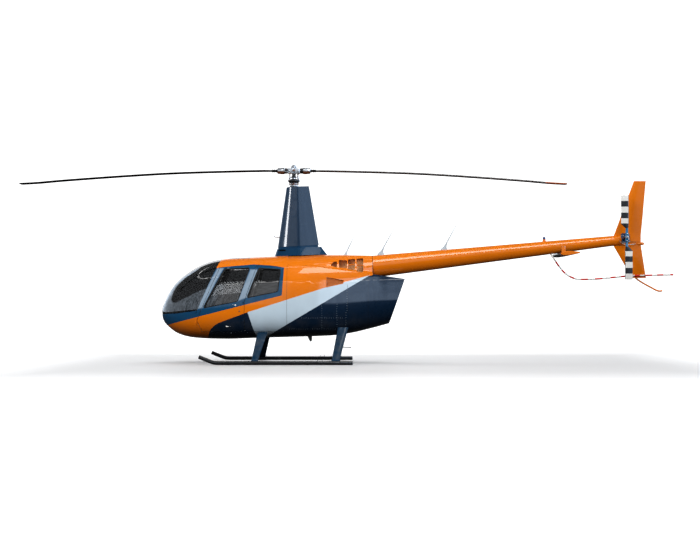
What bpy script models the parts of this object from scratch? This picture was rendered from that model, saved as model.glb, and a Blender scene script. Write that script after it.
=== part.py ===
"""A light helicopter with a two-blade teetering rotor, a closed five-seat cabin and a skid gear.

Metres, +X towards the tail, +Y starboard, +Z up, skids on z = 0. Every X below is measured from
the main rotor mast; one empty then moves the whole model so that its origin is at the middle of
its footprint.
"""
import math

import bmesh
import bpy
from mathutils import Matrix, Vector

# Overall sizes
ROTOR_RADIUS = 4.955
HUB_Z = 3.467
TOP_Z = 3.574
GUARD_END_X = 6.866
CENTRE_X = (GUARD_END_X - ROTOR_RADIUS) / 2

# Clearances and walls
SEAT_GAP = 0.0003
DOOR_GAP = 0.007
SHELL_WALL = 0.035
COWL_WALL = 0.020
GLASS_OUTER = 0.006
GLASS_INNER = 0.014
CUT_REACH = 1.2

# Fuselage, nose to tail
HULL_SIDES = 28
CABIN_END_X = -0.095
BAY_END_X = 1.430
AFT_END_X = 2.000
NOSE_SHIFT_LENGTH = 0.25
# Columns: x, z_bottom, z_top, half_width, z_widest, power_upper, power_lower
HULL_TABLE = [
    (-2.377, 0.870, 0.990, 0.060, 0.930, 2.0, 2.0),
    (-2.350, 0.757, 1.045, 0.190, 0.915, 2.0, 2.0),
    (-2.290, 0.676, 1.188, 0.305, 0.905, 2.0, 2.1),
    (-2.216, 0.611, 1.315, 0.390, 0.905, 2.05, 2.2),
    (-2.127, 0.547, 1.436, 0.468, 0.910, 2.1, 2.3),
    (-2.010, 0.496, 1.545, 0.540, 0.920, 2.15, 2.4),
    (-1.860, 0.460, 1.652, 0.606, 0.935, 2.2, 2.5),
    (-1.690, 0.441, 1.749, 0.660, 0.950, 2.25, 2.6),
    (-1.500, 0.431, 1.820, 0.702, 0.965, 2.3, 2.7),
    (-1.290, 0.428, 1.864, 0.732, 0.980, 2.4, 2.8),
    (-1.080, 0.428, 1.886, 0.750, 0.995, 2.5, 2.9),
    (-0.720, 0.442, 1.901, 0.756, 1.010, 2.6, 3.0),
    (-0.370, 0.452, 1.918, 0.750, 1.020, 2.6, 3.0),
    (0.000, 0.463, 1.940, 0.730, 1.025, 2.6, 3.0),
    (0.400, 0.474, 1.946, 0.680, 1.030, 2.6, 2.9),
    (0.793, 0.496, 1.947, 0.598, 1.040, 2.5, 2.8),
    (1.100, 0.545, 1.940, 0.515, 1.070, 2.4, 2.7),
    (1.430, 0.625, 1.930, 0.430, 1.100, 2.3, 2.6),
    (1.719, 0.703, 1.905, 0.378, 1.110, 2.3, 2.5),
    (2.010, 0.780, 1.870, 0.330, 1.120, 2.3, 2.5),
]
# Columns: x, z. The ledge between the side panels and the upper cowl, then the rear deck.
DECK_LINE = [(-0.180, 1.745), (0.435, 1.714), (1.431, 1.585), (2.100, 1.490)]
DECK_THICKNESS = 0.030
COWL_SKIRT = 0.040
REAR_FACE_LOW = (1.719, 0.703)
REAR_FACE_HIGH = (2.000, 1.504)

# Open grilles of the upper cowl and the sunk screen of each side panel, as side view outlines
GRILLES = [
    [(0.673, 1.738), (0.786, 1.704), (0.786, 1.814), (0.720, 1.806)],
    [(0.820, 1.704), (0.964, 1.690), (0.964, 1.835), (0.820, 1.841)],
    [(0.982, 1.672), (1.109, 1.655), (1.109, 1.866), (0.982, 1.850)],
    [(1.136, 1.640), (1.256, 1.625), (1.256, 1.875), (1.136, 1.868)],
]
SCREEN_OUTLINE = [(0.599, 1.532), (0.912, 1.478), (0.893, 1.417), (0.599, 1.350)]
SCREEN_DEPTH = 0.012
# Columns: x, z_base, z_top, half_width, power
UPPER_COWL_TABLE = [
    (-0.0947, 1.741, 1.935, 0.532, 1.75),
    (0.300, 1.722, 1.944, 0.495, 1.80),
    (0.700, 1.681, 1.947, 0.435, 1.90),
    (1.100, 1.629, 1.940, 0.338, 2.00),
    (1.430, 1.586, 1.930, 0.232, 2.00),
]

# Windshield halves, side view outline
WINDSHIELD_BOW_HALF = 0.028
WINDSHIELD_OUTLINE = [(-1.290, 2.200), (-1.290, 1.850), (-1.680, 0.937), (-2.042, 0.886),
                      (-2.360, 0.873), (-2.700, 0.870), (-2.700, 2.200)]

# Cabin doors, side view outlines of the shell's openings and of the windows in the doors.
# hinge is the vertical axis (x, distance from the centre plane), slope opens the rear edge out.
DOORS = [
    {"name": "front",
     "opening": [(-1.295, 1.704), (-0.715, 1.754), (-0.905, 1.100), (-0.905, 0.560),
                 (-1.600, 0.560), (-1.690, 0.760)],
     "rear_edge": (1, 2, 3), "slope": 0.35,
     "window": [(-1.197, 1.676), (-0.751, 1.697), (-0.957, 1.099), (-1.560, 0.985)],
     "hinge": (-1.706, 0.684), "hinge_z": (0.735, 0.915), "knuckle_end": -1.600},
    {"name": "rear",
     "opening": [(-0.625, 1.752), (-0.165, 1.706), (-0.148, 1.200), (-0.135, 0.700),
                 (-0.170, 0.560), (-0.845, 0.560), (-0.845, 1.100)],
     "rear_edge": (1, 2, 3, 4), "slope": 0.55,
     "window": [(-0.589, 1.692), (-0.205, 1.671), (-0.250, 1.270), (-0.786, 1.163)],
     "hinge": (-0.858, 0.768), "hinge_z": (0.760, 1.080), "knuckle_end": -0.790},
]
DOOR_CUT_INNER_Y = 0.28
DOOR_CUT_OUTER_Y = 0.95
KNUCKLE_RADIUS = 0.010
KNUCKLE_HEIGHT = 0.040
KNUCKLE_SIDES = 12
KNUCKLE_ARM_HALF = 0.006

# Cabin inside
FLOOR_Z = 0.640
FLOOR_THICKNESS = 0.030
SEAT_BOX_TOP = 0.830
CUSHION_HEIGHT = 0.100
FRONT_SEAT = {"x0": -1.240, "x1": -0.800, "y0": 0.060, "y1": 0.520}
FRONT_BACK_TOP = 1.420
BACK_THICKNESS = 0.110
REAR_SEAT = {"x0": -0.660, "x1": -0.165, "half_width": 0.560}
REAR_BACK_TOP = 1.480
CONSOLE = {"x0": -1.980, "x1": -1.760, "half_width": 0.190, "top": 1.130}
CYCLIC_X = -1.480

# Power
GEARBOX = {"x0": -0.060, "x1": 0.240, "half_width": 0.150, "z0": 1.330, "z1": 1.800}
GEARBOX_HOLE_REACH = 0.150
ENGINE = {"x0": 0.420, "x1": 1.120, "half_width": 0.240, "height": 0.480}

# Mast, fairings and main rotor
MAST_RADIUS = 0.038
MAST_HOLE_RADIUS = 0.060
COWL_HOLE_BOTTOM, COWL_HOLE_TOP = 1.850, 2.100
SKIRT_HOLE_BOTTOM, SKIRT_HOLE_TOP = 1.700, 2.300
FAIRING_BASE_BOTTOM = {"x0": -0.375, "x1": 0.700, "half_width": 0.250, "z": 1.840}
FAIRING_BASE_TOP = {"x0": -0.304, "x1": 0.496, "half_width": 0.175, "z0": 2.047, "z1": 2.091}
FAIRING_BOTTOM = {"x0": -0.290, "x1": 0.453, "half_width": 0.125, "z0": 2.080, "z1": 2.125}
FAIRING_TOP = {"x0": -0.134, "x1": 0.272, "half_width": 0.085, "z0": 3.167, "z1": 3.192}
FAIRING_WALL = 0.012
TEARDROP_POINTS = 20
TEARDROP_NOSE, TEARDROP_BELLY, TEARDROP_TAIL = 2.60, 0.18, 0.03
SWASH_RADIUS = 0.112
SWASH_LOWER_TOP = 3.268
SWASH_UPPER_TOP = 3.298
LINK_X = 0.070
LINK_RADIUS = 0.010
HUB_HALF_LENGTH = 0.110
HUB_HALF_WIDTH = 0.060
HUB_HALF_HEIGHT = 0.045
BOLT_RADIUS = 0.045
GRIP_END = 0.304
GRIP_BOTTOM, GRIP_TOP = 3.397, 3.523
GRIP_WIDTH = 0.110
BLADE_CHORD = 0.250
BLADE_THICKNESS = 0.030
# Columns: distance from the mast, z. The blades droop under their own weight.
BLADE_DROOP = [(0.270, 3.467), (0.520, 3.466), (1.259, 3.451), (2.230, 3.419), (3.201, 3.361),
               (4.170, 3.290), (4.623, 3.250), (4.955, 3.232)]

# Tail
CONE_START = (1.4303, 1.731, 0.2010)
CONE_END = (5.922, 2.213, 0.0880)
CONE_WALL = 0.006
CONE_SIDES = 24
# rise lifts the tailplane's rear edge above its front edge, blunt thickens the rear edge
STABILIZER = {"x0": 4.757, "x1": 5.095, "z": 1.958, "thickness": 0.075, "half_span": 0.575,
              "rise": 0.020, "blunt": 0.008}
BRACKET = {"x0": 4.834, "x1": 4.910, "top": 2.100, "thickness": 0.008}
FIN_HALF_THICKNESS = 0.019
FIN_ROOT_REACH = 0.400
FIN_OUTLINE = [(5.803, 2.304), (6.167, 3.284), (6.384, 3.284), (6.283, 2.178), (6.294, 2.087),
               (6.379, 1.531), (6.125, 1.531), (5.788, 2.116)]
TAIL_GEARBOX = {"x0": CONE_END[0] + SEAT_GAP, "x1": CONE_END[0] + 0.153, "half_width": 0.070,
                "z0": 2.165, "z1": 2.330}
TAIL_ROTOR_X = CONE_END[0] + 0.046
TAIL_ROTOR_Y = -0.350
TAIL_ROTOR_Z = 2.247
TAIL_ROTOR_RADIUS = 0.757
TAIL_HOUSING_END = -0.230
TAIL_SHAFT_RADIUS = 0.020
TAIL_HOUSING_RADIUS = 0.042
TAIL_HUB_HALF = 0.085
TAIL_BLADE_CHORD = 0.136
TAIL_BLADE_THICKNESS = 0.017
TAIL_BLADE_NECK, TAIL_BLADE_SHOULDER = 0.162, 0.247
TAIL_BLADE_NECK_SHARE = 0.36
GUARD_RADIUS = 0.015
GUARD_Y = -0.036
GUARD_PATH = [(4.700, 1.885), (4.774, 1.772), (4.824, 1.708), (4.880, 1.639), (4.957, 1.576),
              (5.040, 1.531), (5.136, 1.504), (5.263, 1.500), (5.547, 1.513), (5.967, 1.554),
              (6.263, 1.569), (GUARD_END_X, 1.585)]
TAIL_SKID_RADIUS = 0.015
TAIL_SKID_PATH = [(6.175, 1.545), (6.210, 1.513), (6.245, 1.484), (6.332, 1.430), (6.483, 1.347),
                  (6.558, 1.307), (6.604, 1.291), (6.640, 1.289), (6.674, 1.296)]
TAIL_LIGHT = {"x0": 6.270, "x1": 6.355, "z": 2.147, "radius": 0.030}
BEACON_X = 4.538
BEACON_HEIGHT = 0.088
BEACON_RADIUS = 0.036
# Columns: base x, base z, tip x, tip z, base chord
ANTENNAS = [(0.933, 1.942, 1.103, 2.304, 0.020), (1.575, 1.960, 1.826, 2.440, 0.120),
            (2.720, 2.045, 2.971, 2.536, 0.120)]
BELLY_ANTENNA = {"x0": 0.232, "x1": 0.331, "z0": 0.375, "thickness": 0.012}
PITOT_PATH = [(-0.235, 2.262), (-0.330, 2.262), (-0.352, 2.275), (-0.360, 2.300)]
PITOT_RADIUS = 0.008

# Landing gear
SKID_Y = 1.140
SKID_RADIUS = 0.033
SKID_SIDES = 12
SKID_PATH = [(1.066, 0.033), (-1.250, 0.033), (-1.345, 0.042), (-1.450, 0.080), (-1.596, 0.140)]
# Columns: name, skid x, fuselage x, z of fuselage end, lower chord, upper chord
STRUTS = [("front", -0.643, -0.520, 0.600, 0.105, 0.185), ("rear", 0.760, 0.895, 0.640, 0.135, 0.185)]
STRUT_TOP_Y = 0.520
STRUT_THICKNESS = 0.058
STRUT_POINTS = 16

COLOURS = {
    "orange": (0.730, 0.190, 0.012, 1.0), "navy": (0.010, 0.025, 0.065, 1.0),
    "blue": (0.016, 0.095, 0.280, 1.0), "glass": (0.030, 0.035, 0.040, 1.0),
    "black": (0.012, 0.012, 0.013, 1.0), "grey": (0.110, 0.115, 0.120, 1.0),
    "silver": (0.480, 0.480, 0.470, 1.0), "red": (0.600, 0.030, 0.015, 1.0),
    "white": (0.750, 0.750, 0.730, 1.0), "leather": (0.060, 0.055, 0.050, 1.0),
    "carpet": (0.035, 0.035, 0.038, 1.0), "lamp": (0.800, 0.300, 0.030, 1.0),
}
METAL_COLOURS = {"silver": 0.9}
ROUGHNESS = {"orange": 0.25, "navy": 0.22, "blue": 0.25, "glass": 0.05, "leather": 0.6,
             "carpet": 0.95, "silver": 0.35}

materials = {}
frame_empty = None


def material(colour):
    """The Principled material of one paint or stuff, made once."""
    if colour not in materials:
        made = bpy.data.materials.new(colour)
        made.use_nodes = True
        shader = made.node_tree.nodes["Principled BSDF"]
        shader.inputs["Base Color"].default_value = COLOURS[colour]
        shader.inputs["Roughness"].default_value = ROUGHNESS.get(colour, 0.45)
        shader.inputs["Metallic"].default_value = METAL_COLOURS.get(colour, 0.0)
        materials[colour] = made
    return materials[colour]


def make_object(name, vertices, faces, colour=None, smooth=True):
    """A closed mesh object with its faces pointing out; without a colour it is a cutter."""
    mesh = bpy.data.meshes.new(name)
    mesh.from_pydata([tuple(v) for v in vertices], [], faces)
    work = bmesh.new()
    work.from_mesh(mesh)
    bmesh.ops.recalc_face_normals(work, faces=work.faces)
    work.to_mesh(mesh)
    work.free()
    made = bpy.data.objects.new(name, mesh)
    bpy.context.collection.objects.link(made)
    made.parent = frame_empty
    if colour is None:
        made.hide_render = True
        made.display_type = "WIRE"
    else:
        mesh.materials.append(material(colour))
        if smooth:
            mesh.shade_smooth()
            mesh.set_sharp_from_angle(angle=math.radians(35))
    return made


def set_origin(piece, point):
    """Move a piece's origin to a point of its joint's axis, leaving the piece where it is."""
    piece.data.transform(Matrix.Translation(-Vector(point)))
    piece.location = point


def combine(target, tool, operation):
    """Cut, join or intersect target with tool and keep the tool out of the model."""
    change = target.modifiers.new(operation.lower(), "BOOLEAN")
    change.operation = operation
    change.solver = "EXACT"
    change.object = tool
    tool.hide_render = True
    tool.display_type = "WIRE"


def loft(name, rings, colour=None, smooth=True):
    """Join equal rings of points into one closed skin with flat ends."""
    count = len(rings[0])
    vertices = [point for ring in rings for point in ring]
    faces = []
    for r in range(len(rings) - 1):
        for k in range(count):
            nxt = (k + 1) % count
            low = r * count
            high = low + count
            faces.append((low + k, low + nxt, high + nxt, high + k))
    faces.append(tuple(range(count)))
    faces.append(tuple(range((len(rings) - 1) * count, len(rings) * count)))
    return make_object(name, vertices, faces, colour, smooth)


def box(name, x0, x1, y0, y1, z0, z1, colour=None):
    """A plain box between two corners."""
    rings = [[(x, y0, z0), (x, y1, z0), (x, y1, z1), (x, y0, z1)] for x in (x0, x1)]
    return loft(name, rings, colour, smooth=False)


def prism_xz(name, outline, y0, y1, colour=None):
    """A side view outline pushed across from y0 to y1."""
    rings = [[(x, y, z) for x, z in outline] for y in (y0, y1)]
    return loft(name, rings, colour, smooth=False)


def tube(name, path, radius, sides, colour=None, phase=0.0):
    """A round bar along a path of points, with flat ends."""
    points = [Vector(p) for p in path]
    rings = []
    for i, point in enumerate(points):
        before = points[max(i - 1, 0)]
        after = points[min(i + 1, len(points) - 1)]
        along = (after - before).normalized()
        across = along.cross(Vector((0, 0, 1)) if abs(along.z) < 0.95 else Vector((1, 0, 0)))
        across.normalize()
        up = across.cross(along).normalized()
        turns = [phase + 2 * math.pi * k / sides for k in range(sides)]
        rings.append([point + radius * (math.cos(t) * across + math.sin(t) * up) for t in turns])
    return loft(name, rings, colour)


def inset_outline(outline, distance):
    """Move each side of a closed outline inwards by a distance."""
    count = len(outline)
    area = sum(outline[i][0] * outline[(i + 1) % count][1] - outline[(i + 1) % count][0] * outline[i][1]
               for i in range(count))
    turn = 1.0 if area > 0 else -1.0
    result = []
    for i in range(count):
        here = Vector(outline[i])
        before = (here - Vector(outline[i - 1])).normalized()
        after = (Vector(outline[(i + 1) % count]) - here).normalized()
        inward = Vector((-before.y - after.y, before.x + after.x)) * turn
        inward.normalize()
        reach = distance / max(0.3, inward.dot(Vector((-after.y, after.x)) * turn))
        result.append(tuple(here + inward * reach))
    return result


def mix_rows(low, high, share):
    """The row of a table that lies a share of the way from one row to another."""
    return tuple(a + (b - a) * share for a, b in zip(low, high))


def rows_between(table, x_from, x_to):
    """A table's rows inside a stretch of x, with a row worked out at each end."""
    rows = [row for row in table if x_from < row[0] < x_to]
    for x, place in ((x_from, 0), (x_to, len(rows) + 1)):
        for low, high in zip(table, table[1:]):
            if low[0] <= x <= high[0]:
                rows.insert(place, mix_rows(low, high, (x - low[0]) / (high[0] - low[0])))
                break
    return rows


def line_z(line, x):
    """Height of a broken line of (x, z) points at x."""
    for low, high in zip(line, line[1:]):
        if x <= high[0]:
            break
    return low[1] + (high[1] - low[1]) * (x - low[0]) / (high[0] - low[0])


def hull_ring(row, inset):
    """One fuselage section: a flattened oval with its own power above and below its widest line."""
    x, z_bottom, z_top, half_width, z_widest, power_upper, power_lower = row
    x += inset * max(0.0, 1 - (x - HULL_TABLE[0][0]) / NOSE_SHIFT_LENGTH)
    ring = []
    for k in range(HULL_SIDES):
        turn = 2 * math.pi * (k + 0.5) / HULL_SIDES
        power = 2 / (power_upper if math.sin(turn) > 0 else power_lower)
        height = z_top - z_widest if math.sin(turn) > 0 else z_widest - z_bottom
        y = (half_width - inset) * math.copysign(abs(math.cos(turn)) ** power, math.cos(turn))
        z = z_widest + (height - inset) * math.copysign(abs(math.sin(turn)) ** power, math.sin(turn))
        ring.append((x, y, z))
    return ring


def hull_y(x, z):
    """Half-width of the fuselage skin at a point of its side view."""
    row = rows_between(HULL_TABLE, x, x + 0.001)[0]
    upper = z > row[4]
    power = row[5] if upper else row[6]
    height = row[2] - row[4] if upper else row[4] - row[1]
    share = min(1.0, abs(z - row[4]) / height)
    return row[3] * (1 - share ** power) ** (1 / power)


def hull(name, x_from, x_to, inset=0.0, colour=None, overrun=0.0):
    """A solid stretch of the fuselage; overrun lengthens a cutter past both of its ends."""
    rows = rows_between(HULL_TABLE, x_from, x_to)
    rings = [hull_ring(row, inset) for row in rows]
    if overrun:
        rings[0] = [(x - overrun, y, z) for x, y, z in rings[0]]
        rings[-1] = [(x + overrun, y, z) for x, y, z in rings[-1]]
    return loft(name, rings, colour)


def door_cutter(name, door, side, distance):
    """The solid that a door fills in the shell, its rear edge opening outwards."""
    inner, outer = [], []
    moved = inset_outline(door["opening"], distance)
    for i, (x, z) in enumerate(moved):
        slope = door["slope"] if i in door["rear_edge"] else 0.0
        skin = hull_y(x, z)
        inner.append((x - slope * (skin - DOOR_CUT_INNER_Y), side * DOOR_CUT_INNER_Y, z))
        outer.append((x + slope * (DOOR_CUT_OUTER_Y - skin), side * DOOR_CUT_OUTER_Y, z))
    return loft(name, [inner, outer])


def knuckle(name, door, side, z, arm_to_x, arm_inner_y):
    """Half of a hinge: a short upright barrel on the axis and the arm that carries it."""
    x, y = door["hinge"]
    top = z + KNUCKLE_HEIGHT / 2 - SEAT_GAP
    barrel = tube(name, [(x, side * y, z), (x, side * y, top)], KNUCKLE_RADIUS, KNUCKLE_SIDES)
    half = KNUCKLE_ARM_HALF
    low_y, high_y = sorted((side * (y - half), side * (y + half)))
    arm = box(name + "_arm", min(x, arm_to_x), max(x, arm_to_x), low_y, high_y, z, top)
    end_low, end_high = sorted((arm_to_x, arm_to_x + math.copysign(2 * half, x - arm_to_x)))
    low_y, high_y = sorted((side * arm_inner_y, side * (y + half)))
    foot = box(name + "_foot", end_low, end_high, low_y, high_y, z, top)
    combine(arm, foot, "UNION")
    combine(barrel, arm, "UNION")
    return barrel


def build_cabin():
    """The cabin shell, its split windshield and four hinged doors with their windows."""
    first_x = HULL_TABLE[0][0]
    shell = hull("cabin_shell", first_x, CABIN_END_X, colour="orange")
    inside = hull("cabin_inside", first_x, CABIN_END_X - SHELL_WALL, SHELL_WALL)
    combine(shell, inside, "DIFFERENCE")
    for side, side_name in ((-1, "left"), (1, "right")):
        low_y, high_y = sorted((side * WINDSHIELD_BOW_HALF, side * CUT_REACH))
        opening = prism_xz("windshield_opening_" + side_name, WINDSHIELD_OUTLINE, low_y, high_y)
        combine(shell, opening, "DIFFERENCE")
        low_y, high_y = sorted((side * (WINDSHIELD_BOW_HALF + SEAT_GAP), side * CUT_REACH))
        pane_outline = inset_outline(WINDSHIELD_OUTLINE, SEAT_GAP)
        pane(("windshield_" + side_name), pane_outline, low_y, high_y)
        for door in DOORS:
            build_door(shell, door, side, side_name)


def pane(name, outline, low_y, high_y):
    """Curved window glass that fills an outline, following the fuselage skin."""
    first_x = HULL_TABLE[0][0]
    glass = hull(name, first_x, CABIN_END_X, GLASS_OUTER, "glass")
    combine(glass, prism_xz(name + "_outline", outline, low_y, high_y), "INTERSECT")
    combine(glass, hull(name + "_inside", first_x, CABIN_END_X, GLASS_INNER), "DIFFERENCE")
    return glass


def build_door(shell, door, side, side_name):
    """One door: its opening in the shell, its panel with the window cut, its glass and hinges."""
    name = "door_" + door["name"] + "_" + side_name
    first_x = HULL_TABLE[0][0]
    combine(shell, door_cutter(name + "_opening", door, side, 0.0), "DIFFERENCE")
    panel = hull(name, first_x, CABIN_END_X, colour="orange")
    combine(panel, door_cutter(name + "_solid", door, side, DOOR_GAP), "INTERSECT")
    combine(panel, hull(name + "_inside", first_x, CABIN_END_X - SHELL_WALL, SHELL_WALL), "DIFFERENCE")
    low_y, high_y = sorted((side * DOOR_CUT_INNER_Y, side * DOOR_CUT_OUTER_Y))
    combine(panel, prism_xz(name + "_window_cut", door["window"], low_y, high_y), "DIFFERENCE")
    glass = pane("window_" + door["name"] + "_" + side_name,
                 inset_outline(door["window"], SEAT_GAP), low_y, high_y)
    hinge_x, hinge_y = door["hinge"]
    for level, z in enumerate(door["hinge_z"]):
        shell_arm_x = hinge_x - 0.014
        reach = hull_y(shell_arm_x, z) - SHELL_WALL / 3
        lower = knuckle(name + "_shell_hinge_" + str(level), door, side, z - KNUCKLE_HEIGHT / 2,
                        shell_arm_x, reach)
        combine(shell, lower, "UNION")
        reach = hull_y(door["knuckle_end"], z) - SHELL_WALL / 3
        upper = knuckle(name + "_hinge_" + str(level), door, side, z, door["knuckle_end"], reach)
        combine(panel, upper, "UNION")
    axis_point = (hinge_x, side * hinge_y, FLOOR_Z)
    set_origin(panel, axis_point)
    set_origin(glass, axis_point)


def build_inside():
    """Floor, seats, console and stick, seen through the windows."""
    first_x = HULL_TABLE[0][0]
    floor = hull("cabin_floor", first_x, CABIN_END_X - SHELL_WALL - SEAT_GAP, SHELL_WALL + SEAT_GAP,
                 "carpet")
    combine(floor, box("floor_slice", -3, 1, -1, 1, FLOOR_Z - FLOOR_THICKNESS, FLOOR_Z), "INTERSECT")
    seat = FRONT_SEAT
    box_bottom = FLOOR_Z + SEAT_GAP
    box("front_seat_box", seat["x0"], seat["x1"], -seat["y1"], seat["y1"], box_bottom, SEAT_BOX_TOP,
        "grey")
    cushion_bottom = SEAT_BOX_TOP + SEAT_GAP
    cushion_top = cushion_bottom + CUSHION_HEIGHT
    for side, side_name in ((-1, "left"), (1, "right")):
        low_y, high_y = sorted((side * seat["y0"], side * seat["y1"]))
        box("front_cushion_" + side_name, seat["x0"], seat["x1"], low_y, high_y, cushion_bottom,
            cushion_top, "leather")
        box("front_back_" + side_name, seat["x1"] - BACK_THICKNESS, seat["x1"], low_y, high_y,
            cushion_top + SEAT_GAP, FRONT_BACK_TOP, "leather")
    seat = REAR_SEAT
    half = seat["half_width"]
    box("rear_seat_box", seat["x0"], seat["x1"], -half, half, box_bottom, SEAT_BOX_TOP, "grey")
    box("rear_cushion", seat["x0"], seat["x1"], -half, half, cushion_bottom, cushion_top, "leather")
    box("rear_back", seat["x1"] - BACK_THICKNESS, seat["x1"], -half, half, cushion_top + SEAT_GAP,
        REAR_BACK_TOP, "leather")
    side_view = [(CONSOLE["x0"], box_bottom), (CONSOLE["x1"] + 0.100, box_bottom),
                 (CONSOLE["x1"], CONSOLE["top"] - 0.220), (CONSOLE["x1"], CONSOLE["top"]),
                 (CONSOLE["x0"] + 0.060, CONSOLE["top"])]
    prism_xz("instrument_console", side_view, -CONSOLE["half_width"], CONSOLE["half_width"], "black")
    stick = [(CYCLIC_X, 0, box_bottom), (CYCLIC_X, 0, box_bottom + 0.060), (CYCLIC_X - 0.020, 0, 0.800),
             (CYCLIC_X, 0, 1.080)]
    tube("cyclic_stick", stick, 0.015, 10, "black")


def deck_cutter(name, raised, reach_x):
    """Everything above the deck line, which is moved up by raised."""
    low = [(x, z + raised) for x, z in DECK_LINE]
    outline = [(-reach_x, low[0][1])] + low + [(low[-1][0], 3.0), (-reach_x, 3.0)]
    return prism_xz(name, outline, -CUT_REACH, CUT_REACH)


def screen_pocket(side):
    """The hollow of one side screen, as deep all over as the skin is curved."""
    rings = []
    for depth in (SCREEN_DEPTH, -CUT_REACH):
        rings.append([(x, side * (hull_y(x, z) - depth), z) for x, z in SCREEN_OUTLINE])
    return loft("screen_pocket_" + str(side), rings)


def build_engine_bay():
    """Side panels, deck, upper cowl and rear cowl with the heavy machinery inside."""
    start = CABIN_END_X + SEAT_GAP
    bay = hull("engine_bay_shell", start, BAY_END_X, colour="navy")
    hollow = hull("bay_inside", start, BAY_END_X, SHELL_WALL, overrun=0.05)
    combine(hollow, deck_cutter("bay_inside_top", -DECK_THICKNESS, 1.0), "DIFFERENCE")
    combine(bay, deck_cutter("bay_top", 0.0, 1.0), "DIFFERENCE")
    combine(bay, hollow, "DIFFERENCE")
    gear = GEARBOX
    half = gear["half_width"]
    combine(bay, box("gearbox_hole", gear["x0"] - SEAT_GAP, gear["x1"] + SEAT_GAP, -half - SEAT_GAP,
                     half + SEAT_GAP, gear["z1"] - GEARBOX_HOLE_REACH,
                     gear["z1"] + GEARBOX_HOLE_REACH), "DIFFERENCE")
    for side in (-1, 1):
        combine(bay, screen_pocket(side), "DIFFERENCE")
    box("main_gearbox", gear["x0"], gear["x1"], -half, half, gear["z0"], gear["z1"], "grey")
    engine_top = line_z(DECK_LINE, ENGINE["x1"]) - DECK_THICKNESS - SEAT_GAP
    box("engine_block", ENGINE["x0"], ENGINE["x1"], -ENGINE["half_width"], ENGINE["half_width"],
        engine_top - ENGINE["height"], engine_top, "silver")
    build_upper_cowl()
    build_aft_cowl()


def cowl_ring(row, inset, drop):
    """Half an oval that stands on the deck; drop lowers the base of a cutter."""
    x, z_base, z_top, half_width, power = row
    ring = []
    count = HULL_SIDES // 2
    for k in range(count + 1):
        turn = math.pi * k / count
        y = (half_width - inset) * math.copysign(abs(math.cos(turn)) ** (2 / power), math.cos(turn))
        z = z_base + SEAT_GAP + (z_top - z_base - inset) * math.sin(turn) ** (2 / power)
        ring.append((x, y, z))
    if drop:
        ring[0] = (x, ring[0][1], ring[0][2] - drop)
        ring[-1] = (x, ring[-1][1], ring[-1][2] - drop)
    return ring


def build_upper_cowl():
    """The hollow cowl over the gearbox and engine, with the hole for the mast."""
    rows = [(row[0], line_z(DECK_LINE, row[0])) + row[2:] for row in UPPER_COWL_TABLE]
    cowl = loft("upper_cowl", [cowl_ring(row, 0.0, COWL_SKIRT) for row in rows], "orange")
    inner = rows_between(rows, rows[0][0] + COWL_WALL, rows[-1][0] - COWL_WALL)
    hollow = loft("upper_cowl_inside", [cowl_ring(row, COWL_WALL, 2 * COWL_SKIRT) for row in inner])
    combine(cowl, hollow, "DIFFERENCE")
    under = [(x, z + SEAT_GAP) for x, z in DECK_LINE]
    below_deck = [(-1, under[0][1])] + under + [(under[-1][0], 1.0), (-1, 1.0)]
    combine(cowl, prism_xz("cowl_base_cut", below_deck, -CUT_REACH, CUT_REACH), "DIFFERENCE")
    hole = tube("cowl_mast_hole", [(0, 0, COWL_HOLE_BOTTOM), (0, 0, COWL_HOLE_TOP)], MAST_HOLE_RADIUS, 20)
    combine(cowl, hole, "DIFFERENCE")
    for number, outline in enumerate(GRILLES):
        combine(cowl, prism_xz("grille_" + str(number), outline, -CUT_REACH, CUT_REACH), "DIFFERENCE")


def build_aft_cowl():
    """The rear cowl under the tail cone, closed by a sloping rear face."""
    start = BAY_END_X + SEAT_GAP
    cowl = hull("aft_cowl", start, AFT_END_X + 0.01, colour="navy")
    hollow = hull("aft_inside", start, AFT_END_X + 0.01, SHELL_WALL, overrun=0.05)
    low, high = REAR_FACE_LOW, REAR_FACE_HIGH
    lean = (high[0] - low[0]) / (high[1] - low[1])
    behind = [(low[0] - lean, low[1] - 1), (low[0] + 2 * lean, low[1] + 2), (3, 3), (3, low[1] - 1)]
    moved = [(x - SHELL_WALL, z) for x, z in behind[:2]] + behind[2:]
    combine(hollow, prism_xz("aft_inside_rear", moved, -CUT_REACH, CUT_REACH), "DIFFERENCE")
    combine(hollow, deck_cutter("aft_inside_top", -DECK_THICKNESS, 1.0), "DIFFERENCE")
    combine(cowl, prism_xz("aft_rear", behind, -CUT_REACH, CUT_REACH), "DIFFERENCE")
    combine(cowl, deck_cutter("aft_top", 0.0, 1.0), "DIFFERENCE")
    combine(cowl, hollow, "DIFFERENCE")
    combine(cowl, cone("aft_cone_cut", SEAT_GAP, start - 0.05, AFT_END_X + 0.3), "DIFFERENCE")


def cone_at(x):
    """Centre height and radius of the tail cone at x."""
    share = (x - CONE_START[0]) / (CONE_END[0] - CONE_START[0])
    return (CONE_START[1] + (CONE_END[1] - CONE_START[1]) * share,
            CONE_START[2] + (CONE_END[2] - CONE_START[2]) * share)


def cone(name, grow, x_from, x_to, colour=None):
    """A stretch of the tail cone, grown or shrunk by a distance."""
    rings = []
    for x in (x_from, x_to):
        z, radius = cone_at(x)
        turns = [2 * math.pi * k / CONE_SIDES for k in range(CONE_SIDES)]
        rings.append([(x, (radius + grow) * math.cos(t), z + (radius + grow) * math.sin(t))
                      for t in turns])
    return loft(name, rings, colour)


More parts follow.
